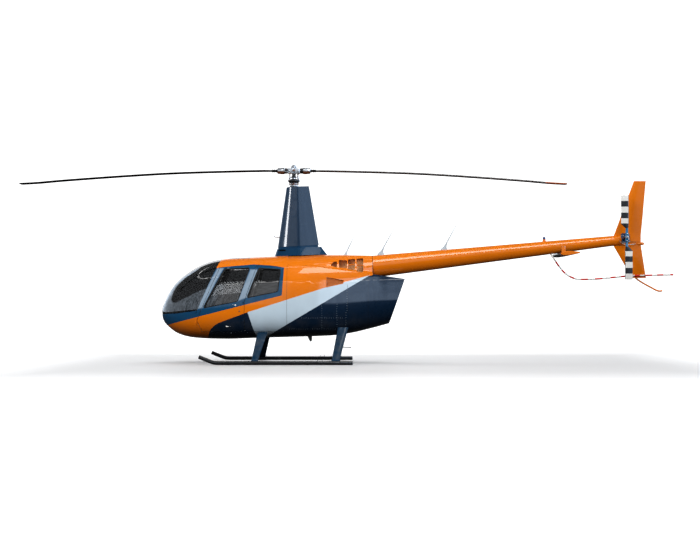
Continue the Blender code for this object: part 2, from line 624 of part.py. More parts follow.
def build_tail():
    """Tail cone, stabilizer, fin, gearbox, guard, skid, lamps and antennas."""
    tail_cone = cone("tail_cone", 0.0, CONE_START[0], CONE_END[0], "orange")
    combine(tail_cone, cone("cone_inside", -CONE_WALL, CONE_START[0] - 0.1, CONE_END[0] + 0.1),
            "DIFFERENCE")
    build_stabilizer()
    fin = prism_xz("vertical_fin", FIN_OUTLINE, -FIN_HALF_THICKNESS, FIN_HALF_THICKNESS, "orange")
    root = cone("fin_cone_cut", SEAT_GAP, CONE_END[0] - FIN_ROOT_REACH, CONE_END[0] + SEAT_GAP)
    combine(fin, root, "DIFFERENCE")
    gear = TAIL_GEARBOX
    room = box("fin_gearbox_cut", gear["x0"] - 0.02, gear["x1"] + SEAT_GAP, -0.1, 0.1,
               gear["z0"] - SEAT_GAP, gear["z1"] + SEAT_GAP)
    combine(fin, room, "DIFFERENCE")
    housing = box("tail_gearbox", gear["x0"], gear["x1"], -gear["half_width"], gear["half_width"],
                  gear["z0"], gear["z1"], "blue")
    arm = tube("gearbox_arm", [(TAIL_ROTOR_X, 0, TAIL_ROTOR_Z), (TAIL_ROTOR_X, TAIL_HOUSING_END,
                                                                 TAIL_ROTOR_Z)], TAIL_HOUSING_RADIUS, 16)
    combine(housing, arm, "UNION")
    guard_path = [(x, GUARD_Y, z) for x, z in GUARD_PATH]
    guard = tube("tail_rotor_guard", guard_path, GUARD_RADIUS, 10, "red")
    start_x = GUARD_PATH[0][0] - 0.048
    cone_z, cone_radius = cone_at(start_x)
    foot = tube("guard_foot", [guard_path[1], guard_path[0], (start_x, 0.0, cone_z - cone_radius + 0.02)],
                GUARD_RADIUS, 10)
    combine(guard, foot, "UNION")
    combine(guard, cone("guard_cone_cut", SEAT_GAP, 4.0, 5.5), "DIFFERENCE")
    combine(guard, box("guard_fin_cut", 6.0, 6.5, -FIN_HALF_THICKNESS - SEAT_GAP, 0.1, 1.3, 1.7),
            "DIFFERENCE")
    skid_path = [(x, 0, z) for x, z in TAIL_SKID_PATH]
    skid = tube("tail_skid", skid_path, TAIL_SKID_RADIUS, 10, "orange")
    grown_fin = inset_outline(FIN_OUTLINE, -SEAT_GAP)
    combine(skid, prism_xz("skid_fin_cut", grown_fin, -0.1, 0.1), "DIFFERENCE")
    lamp = TAIL_LIGHT
    light = tube("tail_light", [(lamp["x0"], 0, lamp["z"]), (lamp["x1"], 0, lamp["z"])],
                 lamp["radius"], 14, "lamp")
    combine(light, prism_xz("light_fin_cut", grown_fin, -0.1, 0.1), "DIFFERENCE")
    cone_z, cone_radius = cone_at(BEACON_X)
    beacon = tube("beacon", [(BEACON_X, 0, cone_z), (BEACON_X, 0, cone_z + cone_radius + BEACON_HEIGHT)],
                  BEACON_RADIUS, 16, "navy")
    combine(beacon, cone("beacon_cone_cut", SEAT_GAP, 4.0, 5.0), "DIFFERENCE")


def build_stabilizer():
    """The tailplane with the two brackets that hold it under the cone."""
    plane = STABILIZER
    rings = []
    for y in (-plane["half_span"], plane["half_span"]):
        ring = []
        for s, t in airfoil(18):
            z = plane["z"] + plane["rise"] * (s - 0.5) + t * plane["thickness"]
            ring.append((plane["x0"] + s * (plane["x1"] - plane["x0"]), y,
                         z + math.copysign(plane["blunt"] * s, t)))
        rings.append(ring)
    stabilizer = loft("horizontal_stabilizer", rings, "orange")
    middle = (BRACKET["x0"] + BRACKET["x1"]) / 2
    radius = cone_at(middle)[1]
    for side in (-1, 1):
        low_y, high_y = sorted((side * (radius + SEAT_GAP * 4), side * (radius + BRACKET["thickness"])))
        tab = box("bracket_" + str(side), BRACKET["x0"], BRACKET["x1"], low_y, high_y, plane["z"],
                  BRACKET["top"])
        combine(stabilizer, tab, "UNION")
    combine(stabilizer, cone("stabilizer_cone_cut", SEAT_GAP, 4.4, 5.4), "DIFFERENCE")


def airfoil(count):
    """Closed outline of a symmetrical wing section: share of chord, share of thickness."""
    outline = []
    for k in range(count):
        turn = 2 * math.pi * k / count
        share = (1 + math.cos(turn)) / 2
        bulge = 2.969 * math.sqrt(share) - 1.26 * share - 3.516 * share ** 2 + 2.843 * share ** 3
        bulge = (bulge - 1.015 * share ** 4) / 2.0 + 0.02 * share
        outline.append((share, math.copysign(bulge, math.sin(turn)) if k else 0.0))
    outline = [point for k, point in enumerate(outline) if k != 0]
    return [(1.0, 0.02)] + outline + [(1.0, -0.02)]


def build_antennas():
    """Whip antennas along the back, the belly blade and the pitot tube."""
    for number, (base_x, base_z, tip_x, tip_z, chord) in enumerate(ANTENNAS, start=1):
        on_cone = base_x > BAY_END_X
        name = "antenna_" + str(number)
        half = chord / 2
        foot_z = base_z - 0.06
        rings = []
        for x, z, length, width in ((base_x, foot_z, half, 0.011), (base_x + 0.01, base_z + 0.04, half * 0.8,
                                    0.010), (base_x + 0.05, base_z + 0.12, 0.012, 0.006),
                                    (tip_x, tip_z, 0.004, 0.004)):
            rings.append([(x - length, 0, z), (x, -width, z), (x + length, 0, z), (x, width, z)])
        mast = loft(name, rings, "white")
        if on_cone:
            combine(mast, cone(name + "_cut", SEAT_GAP, base_x - 0.2, base_x + 0.2), "DIFFERENCE")
        else:
            rows = [(row[0], line_z(DECK_LINE, row[0])) + row[2:] for row in UPPER_COWL_TABLE]
            cut = loft(name + "_cut", [cowl_ring(row, -SEAT_GAP * 2, 0.05) for row in rows])
            combine(mast, cut, "DIFFERENCE")
    blade = BELLY_ANTENNA
    half = blade["thickness"] / 2
    antenna = box("belly_antenna", blade["x0"], blade["x1"], -half, half, blade["z0"], 0.52, "grey")
    combine(antenna, hull("belly_cut", CABIN_END_X, BAY_END_X, -SEAT_GAP), "DIFFERENCE")


def teardrop(place, inset):
    """One level of the mast fairing: round in front, tapering to the rear."""
    ring = []
    x0, x1 = place["x0"] + inset, place["x1"] - 2.5 * inset
    low = place.get("z0", place.get("z"))
    high = place.get("z1", place.get("z"))
    for k in range(TEARDROP_POINTS):
        turn = 2 * math.pi * (k + 0.5) / TEARDROP_POINTS
        share = (1 - math.cos(turn)) / 2
        width = TEARDROP_NOSE * math.sqrt(share) * (1 - share) + TEARDROP_TAIL
        width += TEARDROP_BELLY * share * (1 - share)
        x = x0 + share * (x1 - x0)
        y = (place["half_width"] - inset) * min(1.0, width) * (1 if math.sin(turn) > 0 else -1)
        z = low + (high - low) * (x - place["x0"]) / (place["x1"] - place["x0"])
        ring.append((x, y, z))
    return ring


def raised(place, distance):
    """The same level moved up by a distance."""
    moved = dict(place)
    for key in ("z", "z0", "z1"):
        if key in moved:
            moved[key] += distance
    return moved


def build_mast():
    """Skirt and fairing around the mast, and the fixed half of the swashplate."""
    levels = [teardrop(FAIRING_BASE_BOTTOM, 0.0), teardrop(FAIRING_BASE_TOP, 0.0)]
    skirt = loft("mast_skirt", levels, "blue")
    collar_top = raised(FAIRING_BOTTOM, -SEAT_GAP)
    collar_low = dict(FAIRING_BOTTOM, z0=FAIRING_BASE_TOP["z0"] - 0.03, z1=FAIRING_BASE_TOP["z1"] - 0.03)
    collar = loft("skirt_collar", [teardrop(collar_low, 0.004), teardrop(collar_top, 0.004)])
    combine(skirt, collar, "UNION")
    hole_path = [(0, 0, SKIRT_HOLE_BOTTOM), (0, 0, SKIRT_HOLE_TOP)]
    combine(skirt, tube("skirt_hole", hole_path, MAST_HOLE_RADIUS, 20), "DIFFERENCE")
    combine(skirt, hull("skirt_hull_cut", -1.0, BAY_END_X, -SEAT_GAP), "DIFFERENCE")
    rows = [(row[0], line_z(DECK_LINE, row[0])) + row[2:] for row in UPPER_COWL_TABLE]
    combine(skirt, loft("skirt_cowl_cut", [cowl_ring(row, -SEAT_GAP * 2, 0.05) for row in rows]),
            "DIFFERENCE")
    fairing = loft("mast_fairing", [teardrop(FAIRING_BOTTOM, 0.0), teardrop(FAIRING_TOP, 0.0)], "blue")
    hollow = loft("fairing_inside", [teardrop(raised(FAIRING_BOTTOM, -0.02), FAIRING_WALL),
                                     teardrop(raised(FAIRING_TOP, 0.02), FAIRING_WALL)])
    combine(fairing, hollow, "DIFFERENCE")
    pitot = tube("pitot_tube", [(x, 0, z) for x, z in PITOT_PATH], PITOT_RADIUS, 8, "silver")
    solid = loft("pitot_cut", [teardrop(FAIRING_BOTTOM, -SEAT_GAP), teardrop(FAIRING_TOP, -SEAT_GAP)])
    combine(pitot, solid, "DIFFERENCE")
    top = FAIRING_TOP
    ring = tube("swashplate_lower", [(0, 0, top["z0"]), (0, 0, SWASH_LOWER_TOP)], SWASH_RADIUS - 0.012, 24,
                "grey")
    under = [(top["x0"], top["z0"] + SEAT_GAP), (top["x1"], top["z1"] + SEAT_GAP), (top["x1"], 3.0),
             (top["x0"], 3.0)]
    combine(ring, prism_xz("swash_base_cut", under, -0.2, 0.2), "DIFFERENCE")
    combine(ring, tube("swash_hole", [(0, 0, 3.0), (0, 0, 3.4)], MAST_RADIUS + 0.008, 20), "DIFFERENCE")


def build_main_rotor():
    """Mast, turning swashplate with its links, hub and two drooping blades."""
    axis = (0, 0, HUB_Z)
    hub_bottom = HUB_Z - HUB_HALF_HEIGHT
    mast = tube("rotor_mast", [(0, 0, GEARBOX["z1"] + SEAT_GAP), (0, 0, hub_bottom - SEAT_GAP)],
                MAST_RADIUS, 20, "silver")
    collar_low = SWASH_LOWER_TOP + 0.006
    plate = tube("swash_plate", [(0, 0, collar_low), (0, 0, SWASH_UPPER_TOP)], SWASH_RADIUS, 24)
    combine(mast, plate, "UNION")
    hub = box("rotor_hub", -HUB_HALF_LENGTH, HUB_HALF_LENGTH, -HUB_HALF_WIDTH, HUB_HALF_WIDTH,
              hub_bottom, HUB_Z + HUB_HALF_HEIGHT, "silver")
    combine(hub, tube("teeter_bolt", [(0, 0, HUB_Z), (0, 0, TOP_Z)], BOLT_RADIUS, 16), "UNION")
    for side in (-1, 1):
        x, y = side * LINK_X, side * (HUB_HALF_WIDTH - LINK_RADIUS)
        link = tube("link_" + str(side), [(x, y, SWASH_UPPER_TOP + SEAT_GAP), (x, y, HUB_Z)],
                    LINK_RADIUS, 8)
        combine(hub, link, "UNION")
    set_origin(mast, axis)
    set_origin(hub, axis)
    section = airfoil(16)
    for side, side_name in ((-1, "front"), (1, "rear")):
        rings = []
        for distance, z in BLADE_DROOP:
            rings.append([(side * distance, side * (s - 0.25) * BLADE_CHORD, z + t * BLADE_THICKNESS)
                          for s, t in section])
        blade = loft("rotor_blade_" + side_name, rings, "grey")
        low, high = sorted((side * (HUB_HALF_LENGTH + SEAT_GAP), side * GRIP_END))
        grip = box("grip_" + side_name, low, high, -GRIP_WIDTH / 2, GRIP_WIDTH / 2, GRIP_BOTTOM,
                   GRIP_TOP)
        combine(blade, grip, "UNION")
        set_origin(blade, axis)


def build_tail_rotor():
    """Shaft and hub with two blades that stand upright when parked."""
    axis = (TAIL_ROTOR_X, TAIL_ROTOR_Y, TAIL_ROTOR_Z)
    hub = box("tail_rotor_hub", TAIL_ROTOR_X - 0.040, TAIL_ROTOR_X + 0.040, TAIL_ROTOR_Y - 0.025,
              TAIL_ROTOR_Y + 0.025, TAIL_ROTOR_Z - TAIL_HUB_HALF, TAIL_ROTOR_Z + TAIL_HUB_HALF, "silver")
    shaft = tube("tail_shaft", [(TAIL_ROTOR_X, TAIL_HOUSING_END - SEAT_GAP, TAIL_ROTOR_Z),
                                (TAIL_ROTOR_X, TAIL_ROTOR_Y - 0.045, TAIL_ROTOR_Z)], TAIL_SHAFT_RADIUS, 12)
    combine(hub, shaft, "UNION")
    set_origin(hub, axis)
    section = airfoil(14)
    root = TAIL_HUB_HALF + SEAT_GAP
    for side, side_name in ((1, "upper"), (-1, "lower")):
        rings = []
        stations = ((root, TAIL_BLADE_NECK_SHARE), (TAIL_BLADE_NECK, TAIL_BLADE_NECK_SHARE),
                    (TAIL_BLADE_SHOULDER, 1.0), (TAIL_ROTOR_RADIUS, 1.0))
        for reach, share in stations:
            chord = TAIL_BLADE_CHORD * share
            rings.append([(TAIL_ROTOR_X - side * (s - 0.25) * chord, TAIL_ROTOR_Y + t * TAIL_BLADE_THICKNESS,
                           TAIL_ROTOR_Z + side * reach) for s, t in section])
        blade = loft("tail_blade_" + side_name, rings, "white")
        set_origin(blade, axis)


def build_landing_gear():
    """Two skids and the four faired struts that carry the fuselage."""
    for side, side_name in ((-1, "left"), (1, "right")):
        path = [(x, side * SKID_Y, z) for x, z in SKID_PATH]
        half_side = math.pi / SKID_SIDES
        tube("skid_" + side_name, path, SKID_RADIUS / math.cos(half_side), SKID_SIDES, "black", half_side)
        for name, low_x, high_x, high_z, low_chord, high_chord in STRUTS:
            strut_name = "strut_" + name + "_" + side_name
            rings = []
            low_z = SKID_RADIUS
            foot = (low_x, SKID_Y, low_z, low_chord)
            head = (high_x, STRUT_TOP_Y, high_z, high_chord)
            for x, y, z, chord in (foot, head):
                turns = [2 * math.pi * (k + 0.5) / STRUT_POINTS for k in range(STRUT_POINTS)]
                rings.append([(x + chord / 2 * math.cos(t), side * (y + STRUT_THICKNESS / 2 * math.sin(t)),
                               z) for t in turns])
            strut = loft(strut_name, rings, "blue")
            cut = tube(strut_name + "_skid_cut", [(x, side * SKID_Y, z) for x, z in SKID_PATH[:2]],
                       SKID_RADIUS / math.cos(half_side) + SEAT_GAP, SKID_SIDES, phase=half_side)
            combine(strut, cut, "DIFFERENCE")
            belly = hull(strut_name + "_hull_cut", -1.5, BAY_END_X, -SEAT_GAP)
            combine(strut, belly, "DIFFERENCE")


def main():
    """Empty the scene and build every piece."""
    global frame_empty
    for old in list(bpy.data.objects):
        bpy.data.objects.remove(old, do_unlink=True)
    frame_empty = bpy.data.objects.new("helicopter_frame", None)
    frame_empty.location = (-CENTRE_X, 0, 0)
    bpy.context.collection.objects.link(frame_empty)
    build_cabin()
    build_inside()
    build_engine_bay()
    build_mast()
    build_main_rotor()
    build_tail()
    build_antennas()
    build_tail_rotor()
    build_landing_gear()


main()
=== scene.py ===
"""Finish and detail for the light helicopter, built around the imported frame.

Lengths are metres. Shapes are made with X measured from the main rotor mast, as the aircraft's
drawings would, and each finished piece is then moved by the mast's place in the frame.
"""
import math

import bmesh
import bpy
from mathutils import Matrix, Vector


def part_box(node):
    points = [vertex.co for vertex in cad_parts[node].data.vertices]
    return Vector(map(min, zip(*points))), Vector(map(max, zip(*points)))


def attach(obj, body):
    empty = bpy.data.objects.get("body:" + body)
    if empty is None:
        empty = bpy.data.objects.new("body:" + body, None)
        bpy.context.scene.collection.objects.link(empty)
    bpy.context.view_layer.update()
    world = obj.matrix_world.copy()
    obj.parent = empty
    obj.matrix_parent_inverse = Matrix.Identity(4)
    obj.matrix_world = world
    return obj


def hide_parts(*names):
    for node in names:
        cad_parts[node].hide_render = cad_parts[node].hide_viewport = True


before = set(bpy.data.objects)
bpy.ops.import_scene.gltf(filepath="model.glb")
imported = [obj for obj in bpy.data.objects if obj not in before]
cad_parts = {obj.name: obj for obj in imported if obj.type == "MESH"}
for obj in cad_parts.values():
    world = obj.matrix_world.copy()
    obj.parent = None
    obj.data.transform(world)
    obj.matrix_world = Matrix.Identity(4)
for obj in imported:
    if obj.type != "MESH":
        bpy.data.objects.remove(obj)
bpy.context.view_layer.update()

mast_low, mast_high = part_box("rotor_mast")
MAST_X = (mast_low.x + mast_high.x) / 2
TO_FRAME = Matrix.Translation((MAST_X, 0, 0))
ON_MAST = (0, 0, 0)
SIDES = ((-1, "left"), (1, "right"))
SEAM = 0.0003
# Half-width of cutters that pass right through the fuselage
WIDE_Y = 1.2

# Fuselage shape, the same values as the solids
CABIN_END_X = -0.095
BAY_END_X = 1.430
AFT_END_X = 2.000
SHELL_WALL = 0.035
DOOR_GAP = 0.007
GLASS_OUTER = 0.006
GLASS_INNER = 0.014
RING_POINTS = 104
ROWS_PER_GAP = 5
# Columns: x, z_bottom, z_top, half_width, z_widest, power_upper, power_lower
HULL_TABLE = [
    (-2.3785, 0.926, 0.934, 0.004, 0.930, 2.0, 2.0),
    (-2.373, 0.860, 1.000, 0.075, 0.930, 2.0, 2.0),
    (-2.350, 0.757, 1.045, 0.190, 0.915, 2.0, 2.0),
    (-2.290, 0.676, 1.188, 0.305, 0.905, 2.0, 2.1),
    (-2.216, 0.611, 1.315, 0.390, 0.905, 2.05, 2.2),
    (-2.127, 0.547, 1.436, 0.468, 0.910, 2.1, 2.3),
    (-2.010, 0.496, 1.545, 0.540, 0.920, 2.15, 2.4),
    (-1.860, 0.460, 1.652, 0.606, 0.935, 2.2, 2.5),
    (-1.690, 0.441, 1.749, 0.660, 0.950, 2.25, 2.6),
    (-1.500, 0.431, 1.820, 0.702, 0.965, 2.3, 2.7),
    (-1.290, 0.428, 1.864, 0.732, 0.980, 2.4, 2.8),
    (-1.080, 0.428, 1.886, 0.750, 0.995, 2.5, 2.9),
    (-0.720, 0.442, 1.901, 0.756, 1.010, 2.6, 3.0),
    (-0.370, 0.452, 1.918, 0.750, 1.020, 2.6, 3.0),
    (0.000, 0.463, 1.940, 0.730, 1.025, 2.6, 3.0),
    (0.400, 0.474, 1.946, 0.680, 1.030, 2.6, 2.9),
    (0.793, 0.496, 1.947, 0.598, 1.040, 2.5, 2.8),
    (1.100, 0.545, 1.940, 0.515, 1.070, 2.4, 2.7),
    (1.430, 0.625, 1.930, 0.430, 1.100, 2.3, 2.6),
    (1.719, 0.703, 1.905, 0.378, 1.110, 2.3, 2.5),
    (2.010, 0.780, 1.870, 0.330, 1.120, 2.3, 2.5),
]
NOSE_X = HULL_TABLE[0][0]
NOSE_SHIFT_LENGTH = 0.25
DECK_LINE = [(-0.180, 1.745), (0.435, 1.714), (1.431, 1.585), (2.100, 1.490)]
DECK_THICKNESS = 0.030
# Columns: x, z_top, half_width, power
UPPER_COWL_TABLE = [
    (-0.0947, 1.935, 0.532, 1.75),
    (0.300, 1.944, 0.495, 1.80),
    (0.700, 1.947, 0.435, 1.90),
    (1.100, 1.940, 0.338, 2.00),
    (1.430, 1.930, 0.232, 2.00),
]
COWL_ROWS_PER_GAP = 10
COWL_WALL = 0.020
REAR_FACE_LOW = (1.719, 0.703)
REAR_FACE_HIGH = (2.000, 1.504)
WINDSHIELD_BOW_HALF = 0.028
WINDSHIELD_OUTLINE = [(-1.290, 2.200), (-1.290, 1.850), (-1.680, 0.937), (-2.042, 0.886),
                      (-2.360, 0.873), (-2.700, 0.870), (-2.700, 2.200)]
DOOR_CUT_INNER_Y = 0.28
DOOR_CUT_OUTER_Y = 0.95
DOORS = [
    {"name": "front",
     "opening": [(-1.295, 1.704), (-0.715, 1.754), (-0.905, 1.100), (-0.905, 0.560),
                 (-1.600, 0.560), (-1.690, 0.760)],
     "rear_edge": (1, 2, 3), "slope": 0.35,
     "window": [(-1.197, 1.676), (-0.751, 1.697), (-0.957, 1.099), (-1.560, 0.985)],
     "hinge": (-1.706, 0.684), "hinge_z": (0.735, 0.915), "knuckle_end": -1.600},
    {"name": "rear",
     "opening": [(-0.625, 1.752), (-0.165, 1.706), (-0.148, 1.200), (-0.135, 0.700),
                 (-0.170, 0.560), (-0.845, 0.560), (-0.845, 1.100)],
     "rear_edge": (1, 2, 3, 4), "slope": 0.55,
     "window": [(-0.589, 1.692), (-0.205, 1.671), (-0.250, 1.270), (-0.786, 1.163)],
     "hinge": (-0.858, 0.768), "hinge_z": (0.760, 1.080), "knuckle_end": -0.790},
]
WINDOW_CORNER = 0.045
CONE_JOINTS = (1.969, 2.600, 3.260, 3.910, 4.438, 4.905, 5.118)

# Paint scheme, side view outlines from the mast
SURROUND_OUTLINE = [(-1.317, 1.702), (-2.450, 1.300), (-2.450, 0.628), (-0.182, 1.205),
                    (-0.148, 1.700), (-0.371, 1.736), (-0.694, 1.756), (-1.017, 1.731)]
NAVY_OUTLINE = [(-1.510, 0.470), (-1.494, 0.508), (-1.451, 0.597), (-1.389, 0.662),
                (-1.307, 0.717), (-0.783, 0.909), (1.369, 1.555), (1.440, 1.575), (3.000, 1.600),
                (3.000, -1.000), (-1.520, -1.000)]
STRIPE_OUTLINE = [(-0.783, 0.909), (0.596, 1.350), (1.405, 1.578), (1.405, 1.538),
                  (-0.341, 0.545), (-0.450, 0.480), (-0.645, 0.480)]
ROOF_PATCH_OUTLINE = [(-1.173, 1.862), (-0.776, 1.872), (-0.776, 2.000), (-1.173, 2.000)]
PANEL_SEAMS = [[(-0.099, 0.480), (-0.092, 0.480), (-0.092, 1.740), (-0.099, 1.740)],
               [(0.972, 0.900), (0.980, 0.900), (0.980, 1.400), (0.972, 1.400)],
               [(1.338, 0.640), (1.345, 0.640), (1.345, 1.590), (1.338, 1.590)]]
POST_OUTLINES = [[(-1.335, 1.690), (-1.225, 1.690), (-1.580, 0.990), (-1.690, 0.965)],
                 [(-0.742, 1.660), (-0.600, 1.660), (-0.795, 1.170), (-0.950, 1.110)]]


# Mesh making

def finish_mesh(name, vertices, faces, smooth_angle=35):
    """A mesh object with its faces pointing out, shaded smooth up to an angle."""
    mesh = bpy.data.meshes.new(name)
    mesh.from_pydata([tuple(v) for v in vertices], [], faces)
    work = bmesh.new()
    work.from_mesh(mesh)
    bmesh.ops.recalc_face_normals(work, faces=work.faces)
    work.to_mesh(mesh)
    work.free()
    made = bpy.data.objects.new(name, mesh)
    bpy.context.scene.collection.objects.link(made)
    shade(made, smooth_angle)
    return made


def shade(piece, angle):
    """Smooth shading with sharp edges past an angle in degrees."""
    if angle:
        piece.data.shade_smooth()
        piece.data.set_sharp_from_angle(angle=math.radians(angle))


def loft(name, rings, smooth_angle=35, capped=True, closed_path=False):
    """Join equal rings of points into one skin."""
    count = len(rings[0])
    vertices = [point for ring in rings for point in ring]
    faces = []
    spans = len(rings) if closed_path else len(rings) - 1
    for r in range(spans):
        for k in range(count):
            nxt = (k + 1) % count
            low = r * count
            high = ((r + 1) % len(rings)) * count
            faces.append((low + k, low + nxt, high + nxt, high + k))
    if capped and not closed_path:
        faces.append(tuple(range(count)))
        faces.append(tuple(range((len(rings) - 1) * count, len(rings) * count)))
    return finish_mesh(name, vertices, faces, smooth_angle)


def prism_xz(name, outline, y0, y1):
    """A side view outline pushed across from y0 to y1."""
    return loft(name, [[(x, y, z) for x, z in outline] for y in (y0, y1)], 0)


def box(name, low, high, bevel=0.0, segments=2):
    """A box between two corners, its edges rounded by bevel."""
    rings = [[(x, low[1], low[2]), (x, high[1], low[2]), (x, high[1], high[2]), (x, low[1], high[2])]
             for x in (low[0], high[0])]
    made = loft(name, rings, 0)
    if bevel:
        round_edges(made, bevel, segments)
    return made


def round_edges(piece, width, segments=2):
    """Bevel a piece's sharp edges and shade the result."""
    change = piece.modifiers.new("edges", "BEVEL")
    change.width = width
    change.segments = segments
    change.limit_method = "ANGLE"
    change.angle_limit = math.radians(30)
    apply_changes(piece)
    shade(piece, 40)


def apply_changes(piece):
    """Turn a piece's modifiers into its mesh."""
    graph = bpy.context.evaluated_depsgraph_get()
    mesh = bpy.data.meshes.new_from_object(piece.evaluated_get(graph))
    old = piece.data
    piece.modifiers.clear()
    piece.data = mesh
    bpy.data.meshes.remove(old)


def boolean(piece, tools, operation="DIFFERENCE"):
    """Cut, join or intersect a piece with tools, which are then deleted."""
    for tool in tools:
        change = piece.modifiers.new("shape", "BOOLEAN")
        change.operation = operation
        change.solver = "EXACT"
        change.object = tool
    apply_changes(piece)
    for tool in tools:
        bpy.data.objects.remove(tool, do_unlink=True)
    shade(piece, 35)
    return piece


def join(name, parts, smooth_angle=35):
    """One piece from several loose meshes, which keep their own materials."""
    target = parts[0]
    if len(parts) > 1:
        with bpy.context.temp_override(active_object=target, object=target, selected_objects=parts,
                                       selected_editable_objects=parts):
            bpy.ops.object.join()
    target.name = name
    target.data.name = name
    if smooth_angle:
        shade(target, smooth_angle)
    return target


def turns(count, offset=0.0):
    """Equal steps round a circle, in radians; offset is the first one's share of a step."""
    return [2 * math.pi * (k + offset) / count for k in range(count)]


def heading(points, i):
    """Direction of a path at one of its points."""
    return (points[min(i + 1, len(points) - 1)] - points[max(i - 1, 0)]).normalized()


def frames_across(points):
    """At each point of a path: the directions across it and up from it."""
    result = []
    across = None
    for i in range(len(points)):
        along = heading(points, i)
        if across is None:
            across = along.cross(Vector((0, 0, 1)) if abs(along.z) < 0.9 else Vector((0, 1, 0)))
        else:
            across = across - along * across.dot(along)
        across.normalize()
        result.append((across.copy(), across.cross(along).normalized()))
    return result


def tube(name, path, radius, sides=16, capped=True, flat=1.0):
    """A round bar along a path; radius may be a list, and flat squeezes its height."""
    points = [Vector(p) for p in path]
    radii = radius if isinstance(radius, (list, tuple)) else [radius] * len(points)
    rings = []
    for point, size, (across, up) in zip(points, radii, frames_across(points)):
        rings.append([point + size * (math.cos(turn) * across + flat * math.sin(turn) * up)
                      for turn in turns(sides)])
    return loft(name, rings, 40, capped)


def smooth_path(points, per_gap=6):
    """A Catmull-Rom curve through points of any number of columns."""
    result = []
    last = len(points) - 1
    for i in range(last):
        before, low, high, after = (points[max(i - 1, 0)], points[i], points[i + 1],
                                    points[min(i + 2, last)])
        for step in range(per_gap):
            t = step / per_gap
            result.append(tuple(
                0.5 * (2 * b + (c - a) * t + (2 * a - 5 * b + 4 * c - d) * t * t
                       + (3 * b - a - 3 * c + d) * t ** 3)
                for a, b, c, d in zip(before, low, high, after)))
    result.append(tuple(points[last]))
    return result


def turned(name, profile, centre, axis="Z", sides=32, smooth_angle=35):
    """A solid of revolution; profile is a list of (radius, distance along the axis)."""
    rings = []
    for radius, reach in profile:
        ring = []
        for turn in turns(sides):
            u, v = radius * math.cos(turn), radius * math.sin(turn)
            offset = {"X": (reach, u, v), "Y": (u, reach, v), "Z": (u, v, reach)}[axis]
            ring.append(Vector(centre) + Vector(offset))
        rings.append(ring)
    return loft(name, rings, smooth_angle)


def bolts(name, places, profile, axis):
    """Six-sided bolt heads at places, turned about an axis and joined into one mesh."""
    return join(name, [turned(name, profile, spot, axis, 6, 25) for spot in places], 25)


def both_ends(profile):
    """A profile for turned, given from one end to the middle, with its other half."""
    return [(radius, -reach) for radius, reach in profile] + profile[::-1]


def rounded(outline, radius, steps=5):
    """A closed outline with its corners turned into arcs."""
    result = []
    count = len(outline)
    for i in range(count):
        here = Vector(outline[i])
        back = Vector(outline[i - 1]) - here
        ahead = Vector(outline[(i + 1) % count]) - here
        reach = min(radius, back.length * 0.45, ahead.length * 0.45)
        start = here + back.normalized() * reach
        end = here + ahead.normalized() * reach
        for step in range(steps + 1):
            t = step / steps
            result.append(tuple(start * (1 - t) ** 2 + here * 2 * t * (1 - t) + end * t * t))
    return result


def winding(outline):
    """1 for a closed outline that runs anticlockwise, -1 for one that runs clockwise."""
    ends = zip(outline, outline[1:] + outline[:1])
    return 1.0 if sum(a[0] * b[1] - b[0] * a[1] for a, b in ends) > 0 else -1.0


def inset_outline(outline, distance):
    """Move each side of a closed outline inwards by a distance."""
    count = len(outline)
    turn = winding(outline)
    result = []
    for i in range(count):
        here = Vector(outline[i])
        before = (here - Vector(outline[i - 1])).normalized()
        after = (Vector(outline[(i + 1) % count]) - here).normalized()
        inward = Vector((-before.y - after.y, before.x + after.x)) * turn
        inward.normalize()
        reach = distance / max(0.3, inward.dot(Vector((-after.y, after.x)) * turn))
        result.append(tuple(here + inward * reach))
    return result


def finer(outline, step=0.045, closed=True):
    """The same outline with points added so that none are further apart than a step."""
    result = []
    ends = outline[1:] + outline[:1] if closed else outline[1:]
    for low, high in zip(outline, ends):
        count = max(1, math.ceil(math.dist(low, high) / step))
        result += [tuple(a + (b - a) * k / count for a, b in zip(low, high)) for k in range(count)]
    return result if closed else result + [outline[-1]]


def line_z(line, x):
    """Height of a broken line of (x, z) points at x."""
    for low, high in zip(line, line[1:]):
        if x <= high[0]:
            break
    return low[1] + (high[1] - low[1]) * (x - low[0]) / (high[0] - low[0])


def place(piece, body, replaced=()):
    """Move a finished piece into the frame, ride it on its body and hide the frame parts it replaces."""
    piece.data.transform(TO_FRAME)
    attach(piece, body)
    if replaced:
        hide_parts(*replaced)
    return piece


def dress(piece, *names):
    """Give a piece its materials in order."""
    piece.data.materials.clear()
    for name in names:
        piece.data.materials.append(M[name])
    return piece


def fit(piece, finish, slot, *replaced):
    """Give a piece one material and place it on the airframe."""
    return place(dress(piece, finish), "airframe", replaced)


# Fuselage skin

SMOOTH_ROWS = smooth_path(HULL_TABLE, ROWS_PER_GAP)
COWL_ROWS = smooth_path(UPPER_COWL_TABLE, COWL_ROWS_PER_GAP)


def rows_between(table, x_from, x_to):
    """A table's rows inside a stretch of x, with a row worked out at each end."""
    rows = [row for row in table if x_from + 1e-4 < row[0] < x_to - 1e-4]
    for x, at_start in ((x_from, True), (x_to, False)):
        for low, high in zip(table, table[1:]):
            if low[0] <= x <= high[0]:
                share = (x - low[0]) / (high[0] - low[0])
                row = tuple(a + (b - a) * share for a, b in zip(low, high))
                rows.insert(0 if at_start else len(rows), row)
                break
    return rows


def row_at(table, x):
    """A table's row at one x."""
    return rows_between(table, x, x + 0.001)[0]


